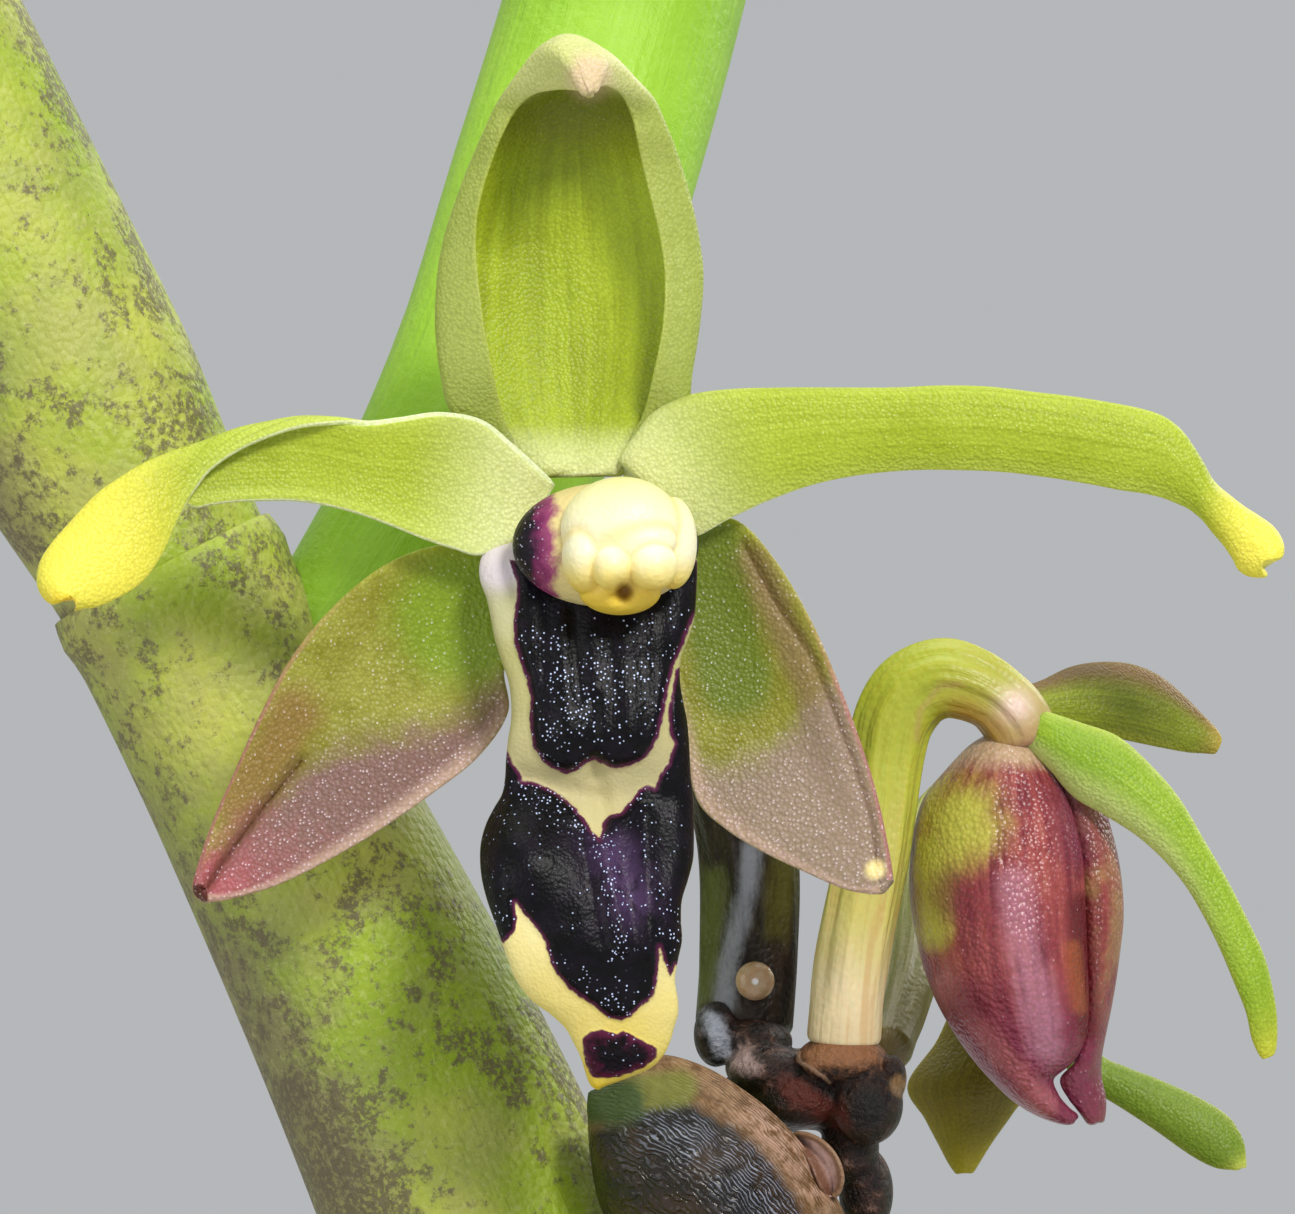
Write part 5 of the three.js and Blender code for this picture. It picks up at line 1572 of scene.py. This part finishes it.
POD = [  # height, left edge, crease and right edge of the pod, and the notch's far edge
    (735, 1000, 1018, 1032), (750, 974, 1033, 1052), (775, 950, 1051, 1077),
    (800, 930, 1066, 1095), (829, 921, 1076, 1104), (858, 917, 1082, 1111),
    (887, 916, 1084, 1115), (917, 919, 1085, 1116), (946, 925, 1086, 1113),
    (975, 933, 1087, 1109), (1004, 945, 1088, 1104), (1033, 962, 1086, 1098),
    (1058, 980, 1074, 1094, 1076), (1077, 997, 1052, 1094, 1060), (1096, 1017, 1056, 1098, 1068),
    (1111, 1042, 1067, 1098, 1081), (1121, 1074, 1078, 1096, 1091),
]
front_rows, back_rows = [], []
for y, left, crease, right, *notch in POD:
    wide = crease - left
    full = math.sin(math.pi * min(1, max(0.02, (y - 725) / 405))) ** 0.6  # how deep the pod is here
    front_rows.append([
        (left + 0.10 * wide, y, 3.3 + 0.9 * full), (left, y, 3.3), (left + 0.20 * wide, y, 3.3 - 1.15 * full),
        (left + 0.52 * wide, y, 3.3 - 1.65 * full), (left + 0.84 * wide, y, 3.3 - 1.35 * full),
        (crease, y, 3.3 - 0.85 * full),
    ])
    near = notch[0] if notch else crease - 4
    begin = notch[0] if notch else left
    spread = right - begin
    back_rows.append([
        (begin + 0.12 * spread, y + 2, 3.3 + 1.1 * full), (begin + 0.5 * spread, y + 2, 3.3 + 1.8 * full),
        (begin + 0.88 * spread, y + 2, 3.3 + 1.2 * full), (right, y + 2, 3.3 + 0.1 * full),
        (right * 0.6 + near * 0.4, y + 2, 3.3 - 0.65 * full), (near, y + 2, 3.3 - 0.62 * full),
    ])
closed = {}  # the closing flower's pieces, of which copies stand in the flower behind
for kind, rows in (("left_sepal", front_rows), ("right_sepal", back_rows)):
    half = tepal(
        lofted(rows), lambda u, v: 0.26, 104, 120,
        gold=most(marked(hump, 960, 822, 30), marked(ridge, (928, 850), (930, 930), 14)),
        neck=lambda t, turn, spots: over(782, 745, spot_of(spots)[1]),
        sheen=marked(ridge, (1012, 885), (1046, 1045), 13),
        crimson=marked(ridge, (1080, 905), (1088, 1030), 9),
        amber=marked(ridge, (1072, 950), (1078, 1005), 6),
        rosy=marked(ridge, (944, 985), (1045, 1106), 8),
        low=lambda t, turn, spots: over(930, 1090, spot_of(spots)[1]),
        plum=most(marked(ridge, (1066, 790), (1080, 850), 15), marked(hump, 1078, 1092, 26)),
        blotch=most(marked(hump, 945, 895, 16), marked(hump, 968, 1005, 14)),
    )
    finish = Finish(f"{kind}_closed")
    along, across = finish.painted("along"), finish.painted("across")
    streak = finish.cloud(1, 4, finish.node("CombineXYZ", {}, {0: across * 11, 1: along * 2.4, 2: 0}), 0.65)
    blush = finish.cloud(0.9, 4)
    colour = (streak * 0.65 + blush * 0.45).ramp(
        (0.34, (0.09, 0.006, 0.016)), (0.48, (0.20, 0.022, 0.036)), (0.60, (0.33, 0.062, 0.064)),
        (0.76, (0.46, 0.15, 0.12))
    )
    if kind == "right_sepal":
        colour = (blush.over(0.40, 0.62) * 0.7).tint(colour, (0.34, 0.20, 0.075))
    # the pale purple streak down the pod is painted highlight; the dark line along the crease between the sepals is
    # painted shade
    for name, much, tone in (
        ("low", 0.7, (0.19, 0.020, 0.070)), ("plum", 0.7, (0.17, 0.026, 0.060)),
        ("rosy", 0.5, (0.48, 0.15, 0.16)), ("crimson", 0.9, (0.11, 0.004, 0.010)),
        ("amber", 0.5, (0.42, 0.11, 0.03)), ("gold", 0.95, (0.52, 0.50, 0.075)),
        ("blotch", 0.6, (0.17, 0.022, 0.045)), ("neck", 0.85, (0.58, 0.42, 0.28)),
        ("sheen", 0.4, (0.55, 0.28, 0.40)),
    ):
        mark = finish.painted(name)
        patch = (mark + streak * 0.9 + blush * 1.3 - 1.1).over(-0.1, 0.95) * mark.over(0.02, 0.3)
        colour = (patch * much).tint(colour, tone)
    material = crusted(
        finish, colour, 0.20, (0.80, 0.55, 0.64), 0.26, 0.085, strength=0.5,
        Subsurface_Radius=(1.0, 0.4, 0.3), Subsurface_Weight=0.12,
    )
    closed[kind] = half
    fitted(half, f"{kind}_closed", material, "lateral_sepal", f"{kind}_2")

# Its other tepals: one petal hangs out to the right as a green strap and the other behind the pod, and the
# dorsal sepal, brown along its upper edge, bends over them. The flower behind shows two petals of its own.

HANGING = {  # its two edges, and the depth of each
    "right_petal_closed": [
        ((1030, 706), (1022, 742), 3.0, 2.9), ((1052, 714), (1050, 768), 2.8, 2.7),
        ((1082, 724), (1074, 796), 2.7, 2.6), ((1117, 737), (1104, 814), 2.6, 2.5),
        ((1150, 766), (1137, 835), 2.6, 2.5), ((1178, 799), (1164, 859), 2.6, 2.5),
        ((1204, 843), (1186, 885), 2.6, 2.5), ((1226, 881), (1204, 915), 2.6, 2.5),
        ((1245, 918), (1221, 949), 2.6, 2.5), ((1262, 955), (1236, 985), 2.6, 2.5),
        ((1271, 990), (1247, 1013), 2.65, 2.55), ((1275, 1020), (1252, 1037), 2.7, 2.6),
        ((1273, 1041), (1258, 1050), 2.7, 2.65), ((1267, 1052), (1263, 1054), 2.7, 2.7),
    ],
    "left_petal_closed": [
        ((1035, 712), (1028, 735), 4.0, 4.2), ((1040, 735), (1000, 745), 5.4, 5.2),
        ((1042, 775), (985, 780), 6.2, 6.1), ((1042, 825), (980, 830), 6.7, 6.6),
        ((1040, 880), (978, 885), 7.0, 6.9), ((1036, 935), (980, 940), 7.2, 7.1),
        ((1030, 985), (985, 990), 7.2, 7.2), ((1022, 1020), (995, 1024), 7.1, 7.1),
        ((1012, 1035), (1008, 1036), 7.0, 7.0),
    ],
    "dorsal_sepal_closed": [
        ((1014, 690), (1026, 716), 3.5, 3.4), ((1040, 682), (1048, 724), 3.9, 3.6),
        ((1070, 668), (1076, 730), 4.3, 3.9), ((1100, 663), (1102, 735), 4.6, 4.1),
        ((1130, 665), (1130, 741), 4.8, 4.3), ((1156, 675), (1154, 746), 4.9, 4.5),
        ((1178, 692), (1175, 750), 5.0, 4.7), ((1198, 712), (1190, 752), 5.0, 4.8),
        ((1213, 728), (1203, 752), 5.0, 4.9), ((1216, 740), (1211, 750), 5.0, 5.0),
    ],
    "left_petal_behind": [
        ((985, 826), (1018, 826), 12.9, 12.9), ((975, 880), (1030, 878), 13.9, 13.9),
        ((968, 935), (1040, 932), 14.3, 14.3), ((957, 990), (1045, 988), 14.4, 14.4),
        ((938, 1040), (1043, 1036), 14.3, 14.3), ((908, 1085), (1031, 1085), 14.1, 14.1),
        ((925, 1118), (1013, 1112), 14.0, 14.0), ((940, 1146), (992, 1141), 13.9, 13.9),
        ((949, 1162), (980, 1159), 13.85, 13.85), ((960, 1173), (968, 1172), 13.8, 13.8),
    ],
    "right_petal_behind": [
        ((1034, 796), (1026, 822), 11.4, 11.3), ((1058, 860), (1030, 880), 10.6, 10.5),
        ((1076, 935), (1040, 950), 10.0, 9.9), ((1088, 1000), (1052, 1022), 9.7, 9.6),
        ((1098, 1052), (1072, 1076), 9.6, 9.5), ((1128, 1069), (1100, 1094), 9.6, 9.5),
        ((1157, 1080), (1126, 1110), 9.6, 9.5), ((1195, 1097), (1156, 1130), 9.6, 9.5),
        ((1224, 1114), (1184, 1150), 9.6, 9.5), ((1237, 1130), (1202, 1161), 9.6, 9.5),
        ((1243, 1145), (1217, 1167), 9.6, 9.5), ((1242, 1157), (1230, 1167), 9.6, 9.5),
        ((1239, 1163), (1236, 1165), 9.6, 9.5),
    ],
}
GREENS = {  # dark, middle and pale green, where the tip's colour begins, and that colour
    "right_petal_closed": ((0.20, 0.34, 0.004), (0.32, 0.46, 0.025), (0.40, 0.50, 0.06), 0.72, (0.56, 0.56, 0.04)),
    "left_petal_closed": ((0.18, 0.28, 0.006), (0.30, 0.42, 0.03), (0.36, 0.45, 0.05), 0.72, (0.50, 0.50, 0.04)),
    "dorsal_sepal_closed": ((0.16, 0.19, 0.004), (0.27, 0.32, 0.012), (0.33, 0.34, 0.03), 0.75, (0.40, 0.29, 0.05)),
    # the two pieces behind get darker greens: painted shade for the shadow of the flowers in front
    "left_petal_behind": ((0.13, 0.095, 0.002), (0.20, 0.15, 0.004), (0.22, 0.16, 0.01), 0.55, (0.33, 0.27, 0.006)),
    "right_petal_behind": ((0.12, 0.20, 0.004), (0.18, 0.27, 0.015), (0.24, 0.30, 0.03), 0.78, (0.52, 0.56, 0.09)),
}
for name, stations in HANGING.items():
    kind, number = name.rsplit("_", 1)[0], 2 if name.endswith("closed") else 3
    rows = []
    for (x, y), (low_x, low_y), depth, low_depth in stations:
        bow = 0.004 * math.hypot(low_x - x, low_y - y)
        row = []
        for share in (0, 0.25, 0.5, 0.75, 1):
            deep = depth + (low_depth - depth) * share - bow * 4 * share * (1 - share)
            row.append((x + (low_x - x) * share, y + (low_y - y) * share, deep))
        rows.append(row)
    strap = tepal(lofted(rows), lambda u, v: 0.24 + 0.12 * over(0.85, 0.98, u), 72, 104)
    dark, middle, pale, tip_from, tip = GREENS[name]
    finish, colour, along, edge, vein = tepal_green(name, dark, middle, pale, 0.04)
    across = finish.painted("across")
    if kind == "dorsal_sepal":
        colour = ((1 - across.over(-0.75, -0.05)) * 0.9).tint(colour, (0.15, 0.065, 0.010))
    elif name == "right_petal_closed":
        # painted light: the lower side near the foot is paler, where light falls on it
        colour = (across.over(-0.1, 0.7) * (1 - along.over(0.35, 0.7)) * 0.8).tint(colour, (0.54, 0.62, 0.22))
    colour = along.over(tip_from, 1.0).tint(colour, tip)
    closed.setdefault(kind, strap)
    material = crusted(finish, colour, 0.10, (0.60, 0.70, 0.30), strength=0.3)
    fitted(strap, name, material, "dorsal_sepal" if kind == "dorsal_sepal" else "petal", f"{kind}_{number}")

# The rest of the two closing flowers: a small lip and column stand inside each pod, and the pod and dorsal
# sepal of the flower behind are those of the one in front, turned and set in their own place.

POD_FOOT = HEART + (7.0, 3.3, -3.6)
COPY_TRIANGLES = 8000


def stood(where, turn, size, start):
    """The move that turns a piece about the upright through `start`, sizes it, and takes it to a place."""
    turned = Matrix.Rotation(math.radians(turn), 4, "Z") @ Matrix.Scale(size, 4)
    return Matrix.Translation(Vector(where) * MM) @ turned @ Matrix.Translation(Vector(-start) * MM)


def copied(piece, name, kind, number, place):
    other = piece.copy()
    other.data = piece.data.copy()
    bpy.context.collection.objects.link(other)
    other.data.transform(place)
    triangles = sum(len(face.vertices) - 2 for face in other.data.polygons)
    finished(other, "DECIMATE", ratio=min(1, COPY_TRIANGLES / triangles))
    for key in list(other.keys()):
        del other[key]
    slot = "lateral_sepal" if kind in ("left_sepal", "right_sepal") else kind
    fitted(other, name, other.data.materials[0], slot, f"{kind}_{number}")


inside = stood(POD_FOOT + (0, 0.1, -1.9), 78, 0.28, HEART)
behind = stood(HEART + (7.32, 12.0, -5.26), 60, 0.75, POD_FOOT)
for kind in ("lip", "column", "anther_cap"):
    copied(open_flower[kind], f"{kind}_closed", kind, 2, inside)
    copied(open_flower[kind], f"{kind}_behind", kind, 3, behind @ inside)
for kind in ("left_sepal", "right_sepal", "dorsal_sepal"):
    copied(closed[kind], f"{kind}_behind", kind, 3, behind)

# The studio: a pale floor, a pale grey surround, soft lamps, and the camera, which stands 150 mm in front of the
# open flower and looks level at it.

FLOOR_RADIUS = 2.2
SENSOR = 36
PICTURE_WIDTH = 1295  # of the picture plane, in units

bpy.ops.object.select_all(action="DESELECT")
bpy.ops.mesh.primitive_circle_add(vertices=128, radius=FLOOR_RADIUS, fill_type="NGON")
floor = bpy.context.object
floor.name = "studio_floor"
finish = Finish("studio_floor")
finish.skin(Base_Color=finish.cloud(60).tint((0.70, 0.71, 0.72), (0.74, 0.75, 0.76)), Roughness=0.8)
floor.data.materials.append(finish.material)

world = bpy.data.worlds.new("studio")
world.use_nodes = True
world.node_tree.nodes["Background"].inputs["Color"].default_value = (0.70, 0.72, 0.74, 1)
world.node_tree.nodes["Background"].inputs["Strength"].default_value = 0.66
bpy.context.scene.world = world
bpy.context.scene.view_settings.view_transform = "Standard"

LAMPS = {  # place, what it faces, size and watts
    "key": ((0.13, -0.26, 0.36), HEART * MM, 0.07, 0.95),
    "fill": ((-0.30, -0.25, 0.22), HEART * MM, 0.20, 0.35),
    "overhead": ((-0.05, 0.15, 0.80), (0, 0, 0.15), 0.50, 2.6),
    "back": ((0.35, 0.45, 0.45), (0, 0, 0.15), 0.35, 1.3),
}
for name, (place, faces, size, watts) in LAMPS.items():
    way = Vector(faces) - Vector(place)
    bpy.ops.object.light_add(type="AREA", location=place, rotation=way.to_track_quat("-Z", "Y").to_euler())
    lamp = bpy.context.object
    lamp.name = f"lamp_{name}"
    lamp.data.size = size
    lamp.data.energy = watts
    lamp.data.color = (1.0, 0.98, 0.94)

bpy.ops.object.camera_add(location=EYE * MM, rotation=(math.pi / 2, 0, 0))
camera = bpy.context.object
camera.data.sensor_width = SENSOR
camera.data.lens = SENSOR * EYE_FAR / (PICTURE_WIDTH / UNITS)
camera.data.clip_start = 0.005
camera.data.clip_end = 50
bpy.context.scene.camera = camera
